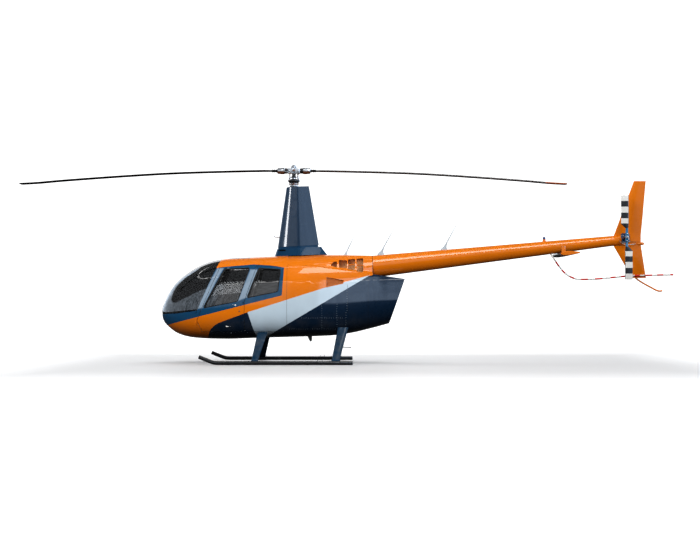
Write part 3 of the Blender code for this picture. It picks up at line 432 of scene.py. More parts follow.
def hull_point(row, turn, inset=0.0):
    """A point of one fuselage section, by its polar angle from starboard."""
    x, z_bottom, z_top, half_width, z_widest, power_upper, power_lower = row
    x += inset * max(0.0, 1 - (x - NOSE_X) / NOSE_SHIFT_LENGTH)
    c, s = math.cos(turn), math.sin(turn)
    power = power_upper if s > 0 else power_lower
    reach = (abs(c) ** power + abs(s) ** power) ** (-1 / power)
    height = z_top - z_widest if s > 0 else z_widest - z_bottom
    y = max(half_width - inset, half_width * 0.2) * reach * c
    z = z_widest + max(height - inset, height * 0.2) * reach * s
    return (x, y, z)


def hull(name, x_from, x_to, inset=0.0, overrun=0.0):
    """A solid stretch of the fuselage; overrun lengthens a cutter past both of its ends."""
    rings = []
    for row in rows_between(SMOOTH_ROWS, x_from, x_to):
        rings.append([hull_point(row, turn, inset) for turn in turns(RING_POINTS, 0.5)])
    if overrun:
        rings[0] = [(x - overrun, y, z) for x, y, z in rings[0]]
        rings[-1] = [(x + overrun, y, z) for x, y, z in rings[-1]]
    return loft(name, rings, 35)


def hull_y(x, z):
    """Half-width of the fuselage skin at a point of its side view."""
    row = row_at(SMOOTH_ROWS, x)
    upper = z > row[4]
    power = row[5] if upper else row[6]
    height = row[2] - row[4] if upper else row[4] - row[1]
    share = min(1.0, abs(z - row[4]) / height)
    return row[3] * (1 - share ** power) ** (1 / power)


def door_cutter(name, door, side, distance):
    """The solid that a door fills in the shell, its rear edge opening outwards."""
    inner, outer = [], []
    moved = inset_outline(door["opening"], distance)
    for i, (x, z) in enumerate(moved):
        slope = door["slope"] if i in door["rear_edge"] else 0.0
        skin = hull_y(x, z)
        inner.append((x - slope * (skin - DOOR_CUT_INNER_Y), side * DOOR_CUT_INNER_Y, z))
        outer.append((x + slope * (DOOR_CUT_OUTER_Y - skin), side * DOOR_CUT_OUTER_Y, z))
    return loft(name, [inner, outer], 0)


def deck_cutter(name, lift):
    """Everything above the deck line, which is moved up by lift."""
    low = [(x, z + lift) for x, z in DECK_LINE]
    outline = [(-1.0, low[0][1])] + low + [(low[-1][0], 3.0), (-1.0, 3.0)]
    return prism_xz(name, outline, -WIDE_Y, WIDE_Y)


# Materials

class Graph:
    """Short calls for building a material's node tree."""

    def __init__(self, name):
        self.material = bpy.data.materials.new(name)
        self.material.use_nodes = True
        self.tree = self.material.node_tree
        self.shader = self.tree.nodes["Principled BSDF"]
        self.object_coords = None

    def node(self, kind, **settings):
        made = self.tree.nodes.new(kind)
        for key, value in settings.items():
            setattr(made, key, value)
        return made

    def feed(self, socket, value):
        if isinstance(value, (int, float, tuple, list)):
            socket.default_value = value
        else:
            self.tree.links.new(value, socket)

    def math(self, operation, a, b=0.0, c=0.0):
        made = self.node("ShaderNodeMath", operation=operation)
        for socket, value in zip(made.inputs, (a, b, c)):
            self.feed(socket, value)
        return made.outputs[0]

    def mix(self, share, a, b):
        made = self.node("ShaderNodeMix", data_type="RGBA")
        self.feed(made.inputs[0], share)
        self.feed(made.inputs[6], a)
        self.feed(made.inputs[7], b)
        return made.outputs[2]

    def coords(self):
        """The piece's own coordinates, with X from the mast."""
        if self.object_coords is None:
            shift = self.node("ShaderNodeVectorMath", operation="SUBTRACT")
            self.tree.links.new(self.node("ShaderNodeTexCoord").outputs["Object"], shift.inputs[0])
            shift.inputs[1].default_value = (MAST_X, 0, 0)
            self.object_coords = shift.outputs[0]
        return self.object_coords

    def axes(self):
        """The three coordinates as separate values."""
        made = self.node("ShaderNodeSeparateXYZ")
        self.tree.links.new(self.coords(), made.inputs[0])
        return made.outputs[0], made.outputs[1], made.outputs[2]

    def noise(self, scale, detail=3.0, stretch=(1, 1, 1)):
        mapping = self.node("ShaderNodeMapping")
        mapping.inputs["Scale"].default_value = stretch
        self.tree.links.new(self.coords(), mapping.inputs[0])
        made = self.node("ShaderNodeTexNoise")
        made.inputs["Scale"].default_value = scale
        made.inputs["Detail"].default_value = detail
        self.tree.links.new(mapping.outputs[0], made.inputs["Vector"])
        return made.outputs["Fac"]

    def remap(self, value, low, high, to_low, to_high, smooth=False):
        made = self.node("ShaderNodeMapRange")
        if smooth:
            made.interpolation_type = "SMOOTHSTEP"
        for socket, item in zip(made.inputs, (value, low, high, to_low, to_high)):
            self.feed(socket, item)
        return made.outputs[0]

    def fade(self, value, start, end):
        """0 before a value's start, 1 past its end, with a smooth step between."""
        return self.remap(value, start, end, 0.0, 1.0, smooth=True)

    def drift(self, scale, detail, low, high, to_low, to_high):
        """Noise whose values from low to high are spread over another range."""
        return self.remap(self.noise(scale, detail), low, high, to_low, to_high)

    def bump(self, height, strength, distance=0.001, normal=None):
        made = self.node("ShaderNodeBump")
        made.inputs["Strength"].default_value = strength
        made.inputs["Distance"].default_value = distance
        self.feed(made.inputs["Height"], height)
        if normal is not None:
            self.tree.links.new(normal, made.inputs["Normal"])
        return made.outputs[0]

    def inside(self, u, v, outline, edge=0.0015):
        """1 inside a convex outline in two coordinates, 0 outside."""
        turn = winding(outline)
        nearest = None
        for (x0, z0), (x1, z1) in zip(outline, outline[1:] + outline[:1]):
            length = math.hypot(x1 - x0, z1 - z0)
            across_x, across_z = -(z1 - z0) / length * turn, (x1 - x0) / length * turn
            offset = -(across_x * x0 + across_z * z0)
            distance = self.math("MULTIPLY_ADD", u, across_x, self.math("MULTIPLY_ADD", v, across_z, offset))
            nearest = distance if nearest is None else self.math("MINIMUM", nearest, distance)
        return self.fade(nearest, -edge, edge)

    def line(self, value, at, half_width):
        """1 on a thin line where a coordinate is near a value."""
        gap = self.math("ABSOLUTE", self.math("SUBTRACT", value, at))
        return self.math("LESS_THAN", gap, half_width)

    def set(self, **values):
        """Shader sockets by name, with underscores for spaces."""
        for key, value in values.items():
            self.feed(self.shader.inputs[key.replace("_", " ")], value)


ORANGE = (0.750, 0.197, 0.003, 1)
NAVY = (0.004, 0.017, 0.040, 1)
SURROUND_BLUE = (0.008, 0.068, 0.150, 1)
# Lighter blue of the door posts, a painted reflection
POST_REFLECTION_BLUE = (0.250, 0.330, 0.420, 1)
LIGHT_STRIPE = (0.540, 0.650, 0.740, 1)
# Brown for dust, which also serves as painted shade low on the fuselage
DUST_AND_SHADE = (0.200, 0.170, 0.130, 1)


def paint_finish(graph, colour, coat=0.75):
    """Clear-coated sheet metal: faint colour drift, orange peel, waviness, and brown dust with painted shade
    that grows towards the bottom.
    """
    shaded = graph.mix(graph.drift(1.7, 4.0, 0.3, 0.7, 0.0, 0.10), colour, (0.02, 0.02, 0.025, 1))
    x, y, z = graph.axes()
    # Dust and painted shade: below z 0.95 the colour turns browner and darker, broken up by noise
    low = graph.remap(z, 0.95, 0.42, 0.0, 0.22)
    dust_and_shade = graph.math("MULTIPLY", low, graph.drift(6.0, 6.0, 0.35, 0.75, 0.0, 1.0))
    graph.set(Base_Color=graph.mix(dust_and_shade, shaded, DUST_AND_SHADE), Metallic=0.0, Coat_Weight=coat,
              Coat_Roughness=0.02, Specular_IOR_Level=0.10)
    graph.set(Roughness=graph.drift(9.0, 5.0, 0.3, 0.7, 0.24, 0.36))
    wave = graph.bump(graph.noise(2.6, 2.0), 0.30, 0.004)
    graph.set(Normal=graph.bump(graph.noise(420.0, 1.0), 0.05, 0.0004, wave))


def livery_material():
    """The fuselage paint: orange, with blue window surround, navy belly and a light stripe."""
    graph = Graph("livery_paint")
    x, y, z = graph.axes()
    colour = graph.mix(graph.inside(x, z, SURROUND_OUTLINE), ORANGE, SURROUND_BLUE)
    # The door posts are painted a lighter blue as a painted reflection on them
    for outline in POST_OUTLINES:
        colour = graph.mix(graph.inside(x, z, outline, 0.018), colour, POST_REFLECTION_BLUE)
    colour = graph.mix(graph.inside(x, z, NAVY_OUTLINE), colour, NAVY)
    colour = graph.mix(graph.inside(x, z, STRIPE_OUTLINE), colour, LIGHT_STRIPE)
    colour = graph.mix(graph.inside(x, z, ROOF_PATCH_OUTLINE), colour, NAVY)
    for outline in PANEL_SEAMS:
        colour = graph.mix(graph.math("MULTIPLY", graph.inside(x, z, outline, 0.002), 0.55), colour,
                           (0.010, 0.010, 0.012, 1))
    paint_finish(graph, colour)
    return graph.material


def paint_material(name, colour, seams=(), coat=0.75):
    """One plain paint; seams are x positions of thin dark lap joints round a tube."""
    graph = Graph(name)
    x, y, z = graph.axes()
    shade_colour = colour
    for at in seams:
        shade_colour = graph.mix(graph.math("MULTIPLY", graph.line(x, at, 0.0022), 0.75), shade_colour,
                                 (0.10, 0.03, 0.01, 1))
    paint_finish(graph, shade_colour, coat)
    return graph.material


def metal_material(name, colour, roughness, scale=60.0, grime=0.35):
    """Machined or cast metal with grime in the hollows of a fine noise."""
    graph = Graph(name)
    patches = graph.drift(scale * 0.25, 5.0, 0.35, 0.70, 0.0, grime)
    graph.set(Base_Color=graph.mix(patches, colour, (0.03, 0.025, 0.02, 1)), Metallic=0.9)
    graph.set(Roughness=graph.drift(scale, 4.0, 0.3, 0.7, roughness * 0.8, roughness * 1.3))
    graph.set(Normal=graph.bump(graph.noise(scale * 4, 2.0), 0.12, 0.0008))
    return graph.material


def plain_material(name, colour, roughness, scale=180.0, strength=0.15, metallic=0.0, coat=0.0,
                   drift=0.25, sheen=0.0):
    """Moulded plastic, rubber, leather or cloth: grain as bump and a little colour drift."""
    graph = Graph(name)
    darker = tuple(c * 0.55 for c in colour[:3]) + (1,)
    patches = graph.drift(scale * 0.06, 4.0, 0.3, 0.7, 0.0, drift * 2)
    graph.set(Base_Color=graph.mix(patches, colour, darker), Metallic=metallic, Coat_Weight=coat)
    rough = graph.drift(scale * 0.3, 3.0, 0.3, 0.7, roughness * 0.85, min(1.0, roughness * 1.15))
    graph.set(Roughness=rough, Sheen_Weight=sheen)
    graph.set(Normal=graph.bump(graph.noise(scale, 3.0), strength, 0.0008))
    return graph.material


def glass_material(name, colour, roughness=0.0, coat=1.0):
    """Tinted acrylic with faint smears."""
    graph = Graph(name)
    graph.set(Base_Color=colour, Transmission_Weight=1.0, IOR=1.45, Metallic=0.0, Coat_Weight=coat,
              Coat_Roughness=0.0, Specular_IOR_Level=0.5)
    graph.set(Roughness=graph.remap(graph.noise(14.0, 4.0, (1, 1, 0.3)), 0.4, 0.8, roughness,
                                    roughness + 0.012))
    graph.set(Normal=graph.bump(graph.noise(1.2, 1.0), 0.02, 0.004))
    return graph.material


M = {
    "livery": livery_material(),
    "orange": paint_material("orange_paint_sheet", ORANGE),
    "cone": paint_material("tail_cone_paint", ORANGE, CONE_JOINTS, coat=1.0),
    "navy": paint_material("navy_paint_sheet", NAVY),
    "fairing": paint_material("fairing_paint", (0.010, 0.032, 0.068, 1), coat=0.45),
    "strut": paint_material("strut_paint", (0.008, 0.036, 0.074, 1), coat=0.35),
    "glass": glass_material("tinted_glass_pane", (0.13, 0.135, 0.14, 1)),
    "lens_orange": glass_material("tail_lamp_lens", (0.90, 0.30, 0.03, 1), 0.10, 0.3),
    "hub": metal_material("hub_metal_cast", (0.56, 0.58, 0.60, 1), 0.42, 60.0, 0.25),
    "steel": metal_material("mast_steel_ground", (0.40, 0.40, 0.41, 1), 0.25),
    # Brown primer for nuts and bolts, also the painted shade on the blade grips' undersides
    "primer_and_shade": plain_material("brown_primer_and_shade", (0.20, 0.085, 0.045, 1), 0.40, 120.0, 0.1, metallic=0.3),
    "dark_metal": metal_material("dark_casting", (0.06, 0.06, 0.065, 1), 0.45),
    "blade": plain_material("blade_dark_paint", (0.018, 0.015, 0.014, 1), 0.60, 90.0, 0.08),
    "tip_orange": plain_material("blade_tip_paint", (0.42, 0.10, 0.025, 1), 0.40, 90.0, 0.08),
    "white": plain_material("white_gloss_paint", (0.76, 0.76, 0.74, 1), 0.30, 90.0, 0.05, coat=0.4,
                            drift=0.06),
    "black": plain_material("black_gloss_paint", (0.014, 0.016, 0.018, 1), 0.35, 90.0, 0.06, coat=0.3),
    "skid": plain_material("skid_black_paint", (0.016, 0.016, 0.017, 1), 0.42, 120.0, 0.10, coat=0.2),
    "red": plain_material("guard_red_paint", (0.62, 0.014, 0.006, 1), 0.45, 90.0, 0.05, coat=0.1,
                          drift=0.06),
    "rubber": plain_material("black_rubber", (0.012, 0.012, 0.012, 1), 0.75, 260.0, 0.20),
    "plastic": plain_material("cabin_dark_plastic", (0.035, 0.036, 0.040, 1), 0.55, 300.0, 0.20),
    "leather": plain_material("seat_dark_leather", (0.026, 0.024, 0.023, 1), 0.85, 140.0, 0.30),
    "trim": plain_material("cabin_grey_lining", (0.120, 0.118, 0.115, 1), 0.80, 260.0, 0.25, sheen=0.3),
    "carpet": plain_material("cabin_carpet", (0.045, 0.045, 0.050, 1), 0.95, 420.0, 0.60, sheen=0.4),
    # Darker orange for the sunk floors behind the side screens, a painted shade
    "screen_recess_shade": plain_material("orange_screen_painted_shade", (0.52, 0.13, 0.012, 1), 0.6, 200.0, 0.15),
    "screen": plain_material("screen_wire", (0.66, 0.24, 0.06, 1), 0.5, 300.0, 0.10),
    "lens_blue": plain_material("beacon_blue_glass", (0.010, 0.035, 0.160, 1), 0.12, 60.0, 0.05, coat=0.8),
    "skirt": paint_material("skirt_blue_paint", (0.006, 0.044, 0.100, 1), coat=0.15),
    "fin": paint_material("fin_orange_paint", ORANGE, coat=0.15),
    "edge_strip": metal_material("edge_strip_steel", (0.20, 0.20, 0.20, 1), 0.40, 40.0),
    "gearbox_blue": paint_material("gearbox_blue_paint", (0.008, 0.045, 0.120, 1)),
    "root_blue": paint_material("blade_root_blue", (0.020, 0.160, 0.320, 1)),
    # Pale, mottled baffle colour: painted light inside the dim cowl
    "baffle": plain_material("baffle_painted_light_orange", (1.0, 0.62, 0.30, 1), 0.45, 220.0, 0.25, drift=0.75),
    "tail_white": plain_material("tail_blade_white", (0.78, 0.78, 0.76, 1), 0.32, 90.0, 0.05, drift=0.06),
    "tail_black": plain_material("tail_blade_black", (0.014, 0.017, 0.021, 1), 0.35, 90.0, 0.05),
    "belt": plain_material("belt_webbing_weave", (0.020, 0.020, 0.022, 1), 0.85, 600.0, 0.6, sheen=0.3),
    "dial": plain_material("instrument_dial", (0.006, 0.006, 0.007, 1), 0.25, 100.0, 0.02, coat=0.5),
    "antenna_grey": plain_material("antenna_grey_paint", (0.30, 0.31, 0.32, 1), 0.45, 90.0, 0.05),
    "antenna": plain_material("antenna_white", (0.44, 0.52, 0.58, 1), 0.45, 90.0, 0.05, drift=0.05),
    # Light grey-blue rivet heads on the navy lower panels
    "rivet": plain_material("rivet_heads_light_grey", (0.40, 0.46, 0.52, 1), 0.40, 90.0, 0.05, drift=0.3),
}


# Cabin, doors and glass

def skin_depth(point):
    """How far a point lies inside the fuselage skin, roughly."""
    x = min(max(point.x, NOSE_X + 0.001), AFT_END_X)
    row = row_at(SMOOTH_ROWS, x)
    power = row[5] if point.z > row[4] else row[6]
    height = row[2] - row[4] if point.z > row[4] else row[4] - row[1]
    share = (abs(point.y / row[3]) ** power + abs((point.z - row[4]) / height) ** power) ** (1 / power)
    return (1 - share) * math.hypot(point.y, point.z - row[4])


def line_inside(piece, outer, inner, depth=0.012):
    """Paint outside and lining on the faces that lie deeper than the skin."""
    dress(piece, outer, inner)
    for face in piece.data.polygons:
        face.material_index = 1 if skin_depth(face.center) > depth else 0


def mirrored(piece, name):
    """A copy of a piece on the other side of the centre plane."""
    copy = piece.copy()
    copy.data = piece.data.copy()
    copy.name = name
    copy.data.name = name
    bpy.context.scene.collection.objects.link(copy)
    copy.data.transform(Matrix.Scale(-1, 4, (0, 1, 0)))
    copy.data.flip_normals()
    return copy


def pane(name, outline, low_y, high_y, x_from, x_to):
    """Curved glass that fills an outline, following the fuselage skin."""
    glass = hull(name, x_from, x_to, GLASS_OUTER)
    boolean(glass, [prism_xz(name + "_outline", outline, low_y, high_y)], "INTERSECT")
    boolean(glass, [hull(name + "_inside", x_from, x_to, GLASS_INNER)])
    return dress(glass, "glass")


def skin_point(x, z, side, lift=0.0):
    """A point on the fuselage skin in side view, lifted off it by a little."""
    return Vector((x, side * (hull_y(x, z) + lift), z))


def skin_strip(name, outline, side, inset, width, lift, depth=0.006, kept=None):
    """A flat strip along an outline on the skin, inset to its outer edge; kept picks its points."""
    inner = inset_outline(outline, inset + width)
    outer = inset_outline(outline, inset)
    rings = []
    for i in range(len(outline)) if kept is None else kept:
        low_in, low_out = skin_point(*inner[i], side, -depth), skin_point(*outer[i], side, -depth)
        top_in, top_out = skin_point(*inner[i], side, lift), skin_point(*outer[i], side, lift)
        rings.append([low_in, top_in, top_out, low_out])
    return loft(name, rings, 30, closed_path=kept is None)


def true_normals(piece):
    """Shading normals of the fuselage skin itself, so that reflections in the glass don't waver."""
    normals, step = [], 0.012
    for vertex in piece.data.vertices:
        x, y, z = vertex.co
        along = (hull_y(x + step, z) - hull_y(x - step, z)) / (2 * step)
        up = (hull_y(x, z + step) - hull_y(x, z - step)) / (2 * step)
        normal = Vector((-along, math.copysign(1, y), -up)).normalized()
        normals.append(normal if normal.dot(vertex.normal) > 0 else -normal)
    piece.data.normals_split_custom_set_from_vertices(normals)


def build_cabin():
    """Cabin skin, split windshield, four doors and their windows."""
    shell = hull("cabin_skin", NOSE_X, CABIN_END_X)
    boolean(shell, [hull("cabin_hollow", NOSE_X, CABIN_END_X - SHELL_WALL, SHELL_WALL)])
    cuts = []
    for side, word in SIDES:
        low_y, high_y = sorted((side * WINDSHIELD_BOW_HALF, side * WIDE_Y))
        cuts.append(prism_xz("windshield_cut_" + word, WINDSHIELD_OUTLINE, low_y, high_y))
        for door in DOORS:
            cuts.append(door_cutter("door_cut_" + word, door, side, 0.0))
    boolean(shell, cuts)
    line_inside(shell, "livery", "trim")
    place(shell, "airframe", ["cabin_shell"])

    clear = inset_outline(WINDSHIELD_OUTLINE, SEAM)
    glass = pane("windshield_pane_left", clear, -WIDE_Y, -WINDSHIELD_BOW_HALF - SEAM, NOSE_X, -1.20)
    other = mirrored(glass, "windshield_pane_right")
    place(glass, "airframe", ["windshield_left"])
    place(other, "airframe", ["windshield_right"])
    for door in DOORS:
        build_door(door)


def build_door(door):
    """A left door with its glass, seal, lip, latch and hinges, and the same mirrored to the right."""
    xs = [x for x, z in door["opening"]]
    x_from, x_to = min(xs) - 0.06, min(CABIN_END_X, max(xs) + 0.06)
    panel = hull("door_" + door["name"] + "_panel_left", x_from, x_to)
    boolean(panel, [door_cutter("door_solid", door, -1, DOOR_GAP)], "INTERSECT")
    window = rounded(door["window"], WINDOW_CORNER)
    boolean(panel, [hull("door_hollow", x_from - 0.02, min(x_to, CABIN_END_X - SHELL_WALL), SHELL_WALL),
                    prism_xz("window_cut", window, -DOOR_CUT_OUTER_Y, -DOOR_CUT_INNER_Y)])
    line_inside(panel, "livery", "trim")
    glass = pane("window_" + door["name"] + "_pane_left", inset_outline(window, SEAM), -DOOR_CUT_OUTER_Y,
                 -DOOR_CUT_INNER_Y, x_from, x_to)
    fine = finer(window)
    front_edge = [i for i, (x, z) in enumerate(fine) if x < window_front(door, z) + 0.030]
    turn_at = next((k for k, i in enumerate(front_edge[1:], start=1) if i > front_edge[k - 1] + 1), 0)
    front_edge = front_edge[turn_at:] + front_edge[:turn_at]
    seal = join("window_" + door["name"] + "_seal_left", [
        skin_strip("seal_all", fine, -1, -0.006, 0.016, 0.0012),
        skin_strip("seal_front", fine, -1, -0.016, 0.034, 0.0014, kept=front_edge)])
    dress(seal, "rubber")
    lip = build_door_lip(door)
    trim = build_door_trim(door)
    hinge_x, hinge_y = door["hinge"]
    pins = []
    for z in door["hinge_z"]:
        for low, high in ((0.0, 0.020), (-0.020, -0.0006)):
            pins.append(turned("pin", [(0.007, low), (0.007, high)], (hinge_x, -hinge_y, z), "Z", 12))
    hinges = dress(join("door_" + door["name"] + "_hinges_left", pins), "livery")
    for piece, slot, kind in ((panel, "orange_paint", "door"), (glass, "tinted_glass", "window"),
                              (seal, "cabin_plastic", None), (trim, "hub_metal", None),
                              (lip, "orange_paint", None), (hinges, "orange_paint", None)):
        other = mirrored(piece, piece.name.replace("_left", "_right"))
        for made, word in ((piece, "left"), (other, "right")):
            if piece is glass:
                true_normals(made)
            ending = "_%s_%s" % (door["name"], word)
            place(made, "door" + ending, [kind + ending] if kind else ())


def window_front(door, z):
    """X of a window's sloping front edge at a height."""
    top, low = door["window"][0], door["window"][-1]
    return low[0] + (top[0] - low[0]) * (z - low[1]) / (top[1] - low[1])


def build_door_lip(door):
    """The thin edge of a left door's skin that lies over its gap, clear of the hinged edge."""
    corners = door["opening"]
    outline, kept = [], []
    for i, (low, high) in enumerate(zip(corners, corners[1:] + corners[:1])):
        slopes = [door["slope"] * (k in door["rear_edge"]) for k in (i, (i + 1) % len(corners))]
        count = math.ceil(math.dist(low, high) / 0.030)
        for k in range(count):
            share = k / count
            x, z = (a + (b - a) * share for a, b in zip(low, high))
            shift = ((1 - share) * slopes[0] * (hull_y(x, z) - hull_y(*low))
                     + share * slopes[1] * (hull_y(x, z) - hull_y(*high)))
            if i < door["rear_edge"][-1] and (i or k > 1):
                kept.append(len(outline))
            outline.append((x + shift, z))
    lip = skin_strip("door_" + door["name"] + "_lip_left", outline, -1, -0.003, 0.016, 0.0014, 0.0, kept)
    return dress(lip, "livery")


def build_door_trim(door):
    """Latch, lock and pull of a left front door, and the flush lock of a rear one."""
    parts = []
    if door["name"] == "front":
        # The white lock disc and the white rings of the pull are painted highlights, standing in for glints
        # on them
        spots = [(-0.998, 1.034, 0.015, "white"), (-1.045, 1.042, 0.007, "hub"),
                 (-0.929, 0.926, 0.014, "primer_and_shade"), (-1.084, 0.542, 0.008, "hub")]
        for k in range(3):
            at = skin_point(-1.158 + 0.018 * k, 0.659, -1)
            parts.append(dress(turned("pull", [(0.014 - 0.003 * k, 0.0), (0.013 - 0.003 * k, -0.006),
                                               (0.008 - 0.002 * k, -0.009)], at, "Y", 18), "white"))
        base = [skin_point(-1.150 + 0.07 * k / 6, 0.657, -1, 0.003) for k in range(7)]
        rod = tube("pull_rod", base, [0.005, 0.006, 0.007, 0.007, 0.007, 0.006, 0.005], 12, flat=0.7)
        parts.append(dress(rod, "hub"))
    else:
        spots = [(-0.235, 0.990, 0.008, "livery")]
    for x, z, radius, finish in spots:
        profile = [(radius, 0.002), (radius, -0.002), (radius * 0.55, -0.005)]
        parts.append(dress(turned("lock", profile, skin_point(x, z, -1, -0.001), "Y", 18), finish))
    return join("door_" + door["name"] + "_latch_left", parts)


# Engine bay and cowls

GRILLES = [
    [(0.673, 1.738), (0.786, 1.704), (0.786, 1.814), (0.720, 1.806)],
    [(0.820, 1.704), (0.964, 1.690), (0.964, 1.835), (0.820, 1.841)],
    [(0.982, 1.672), (1.109, 1.655), (1.109, 1.866), (0.982, 1.850)],
    [(1.136, 1.640), (1.256, 1.625), (1.256, 1.875), (1.136, 1.868)],
]
GRILLE_BARS = ((2, 1.757), (3, 1.750))
GRILLE_CORNER = 0.020
RIM_RADIUS = 0.0035
SCREEN_OUTLINE = [(0.599, 1.532), (0.912, 1.478), (0.893, 1.417), (0.599, 1.350)]
SCREEN_CORNER = 0.012
SCREEN_FLOOR_DEPTH = (0.015, 0.034)
GEARBOX_HOLE = ((-0.0605, -0.1505, 1.6), (0.2405, 0.1505, 1.9))
BAFFLE_EDGES = (0.650, 0.800, 0.972, 1.122, 1.280)
BAFFLE_Y = 0.085
BAFFLE_TOP = 1.880
GASKET_X = (1.4225, 1.4296)
GASKET_STANDS_OUT = 0.0014
FLARE_LENGTH = 0.016


def cowl_outline(row, inset):
    """Half section of the upper cowl, from the deck up and over, flared onto the deck's edge."""
    x, z_top, half_width, power = row
    base = line_z(DECK_LINE, x) + SEAM
    edge = hull_y(x, base) - 0.002
    ring = []
    count = 56
    for k in range(count + 1):
        turn = math.pi * k / count
        c, s = math.cos(turn), math.sin(turn)
        reach = (abs(c) ** power + abs(s) ** power) ** (-1 / power)
        y = (half_width - inset) * reach * c
        z = base + (z_top - base - inset) * reach * s
        flare = max(0.0, edge - half_width) * math.exp(-(z - base) / FLARE_LENGTH)
        ring.append((x, y + math.copysign(flare, c) * (abs(c) > 0.2), z))
    return ring


def build_upper_cowl():
    """The orange cowl over gearbox and engine, with four open grilles a side."""
    cowl = loft("upper_cowl_skin", [cowl_outline(row, 0.0) for row in COWL_ROWS])
    front_x, rear_x = COWL_ROWS[0][0] + COWL_WALL, COWL_ROWS[-1][0] - COWL_WALL
    hollow_rows = [row for row in COWL_ROWS if front_x < row[0] < rear_x]
    rings = [cowl_outline(row, COWL_WALL) for row in hollow_rows]
    for ring in rings:
        ring[0] = (ring[0][0], ring[0][1] - 0.02, ring[0][2] - 0.05)
        ring[-1] = (ring[-1][0], ring[-1][1] + 0.02, ring[-1][2] - 0.05)
    cuts = [loft("cowl_hollow", rings)]
    cuts.append(turned("cowl_mast_hole", [(0.060, 1.85), (0.060, 2.1)], ON_MAST, "Z", 32))
    for number, outline in enumerate(GRILLES):
        shape = rounded(outline, GRILLE_CORNER, 4)
        cuts.append(prism_xz("grille_cut_" + str(number), shape, -0.7, 0.7))
    boolean(cowl, cuts)
    dress(cowl, "orange")
    place(cowl, "airframe", ["upper_cowl"])
    build_grille_frames()


def cowl_y(x, z, inset=0.0):
    """Half-width of the upper cowl at a point of its side view."""
    row = row_at(COWL_ROWS, x)
    base = line_z(DECK_LINE, x)
    share = min(1.0, (z - base) / (row[1] - base - inset))
    return (row[2] - inset) * (1 - share ** row[3]) ** (1 / row[3])


def mesh_screen(name, outline, y_of, pitch, wire):
    """Crossing wires that fill an outline in side view, at a half-width worked out by y_of."""
    xs, zs = [p[0] for p in outline], [p[1] for p in outline]
    parts = []
    steps = int((max(xs) - min(xs)) / pitch)
    for k in range(1, steps):
        x = min(xs) + k * pitch
        span = crossing(outline, x, 0)
        parts += wire_pair(x, span, y_of, wire, upright=True)
    steps = int((max(zs) - min(zs)) / pitch)
    for k in range(1, steps):
        z = min(zs) + k * pitch
        span = crossing(outline, z, 1)
        parts += wire_pair(z, span, y_of, wire, upright=False)
    return join(name, parts)


def crossing(outline, at, axis):
    """Where a line at a coordinate enters and leaves an outline."""
    hits = []
    for a, b in zip(outline, outline[1:] + outline[:1]):
        if (a[axis] - at) * (b[axis] - at) < 0:
            share = (at - a[axis]) / (b[axis] - a[axis])
            hits.append(a[1 - axis] + (b[1 - axis] - a[1 - axis]) * share)
    return (min(hits), max(hits)) if len(hits) > 1 else None


def wire_pair(at, span, y_of, wire, upright):
    """One wire of a screen on each side of the aircraft."""
    if span is None or span[1] - span[0] < 0.01:
        return []
    parts = []
    for side in (-1, 1):
        path = []
        for k in range(7):
            other = span[0] + (span[1] - span[0]) * k / 6
            x, z = (at, other) if upright else (other, at)
            path.append((x, side * y_of(x, z), z))
        parts.append(tube("wire", path, wire, 5, False))
    return parts


def build_gasket():
    """The thin rubber ring at the upper cowl's rear edge."""
    rings = [cowl_outline(rows_between(COWL_ROWS, x, x + 0.0002)[0], -GASKET_STANDS_OUT) for x in GASKET_X]
    fit(loft("cowl_rear_gasket", rings), "rubber", "cabin_plastic")


def build_baffles():
    """Sheet walls inside the upper cowl that close the view from one grille to the other side; their pale,
    mottled colour is painted light, as if lit inside the dim cowl.
    """
    walls = []
    for side in (-1, 1):
        for x0, x1 in zip(BAFFLE_EDGES, BAFFLE_EDGES[1:]):
            outline = [(x, line_z(DECK_LINE, x) + 0.002) for x in (x0, x1)]
            outline += [(x1, BAFFLE_TOP), (x0, BAFFLE_TOP)]
            faces = [[(x, side * BAFFLE_Y + lift, z) for x, z in outline] for lift in (-0.0015, 0.0015)]
            walls.append(loft("baffle_sheet", faces, 0))
    fit(join("cowl_baffles", walls), "baffle", "orange_paint")


def build_grille_frames():
    """Raised rims, bars and wire screens of the cowl openings and of the side screens."""
    build_baffles()
    build_gasket()
    rims, bars, wires = [], [], []
    for number, outline in enumerate(GRILLES):
        shape = rounded(outline, GRILLE_CORNER, 4)
        grown = inset_outline(shape, -0.004)
        for side in (-1, 1):
            path = [(x, side * (cowl_y(x, z) - 0.001), z) for x, z in grown + grown[:2]]
            rims.append(tube("rim", path, RIM_RADIUS, 6, False))
        small = inset_outline(outline, -0.004)
        wires.append(mesh_screen("wires", small, lambda x, z: cowl_y(x, z) - 0.022, 0.020, 0.0010))
    for number, z in GRILLE_BARS:
        front, rear = crossing(GRILLES[number], z, 1)
        span = (front - 0.01, rear + 0.01)
        bars += wire_pair(z, span, lambda x, h: cowl_y(x, h) - 0.010, 0.007, upright=False)
    fit(join("cowl_grille_rims", rims + bars), "orange", "orange_paint")
    fit(join("cowl_grille_wires", wires), "screen", "orange_paint")
    shape = rounded(SCREEN_OUTLINE, SCREEN_CORNER, 3)
    rims = []
    for side in (-1, 1):
        path = [skin_point(x, z, side, 0.0005) for x, z in shape + shape[:2]]
        rims.append(tube("screen_rim", path, RIM_RADIUS, 6, False))
    fit(join("side_screen_rims", rims), "orange", "orange_paint")
    wires = mesh_screen("side_screen_wires", SCREEN_OUTLINE, lambda x, z: hull_y(x, z) - 0.006, 0.0145,
                        0.0012)
    fit(wires, "screen", "orange_paint")


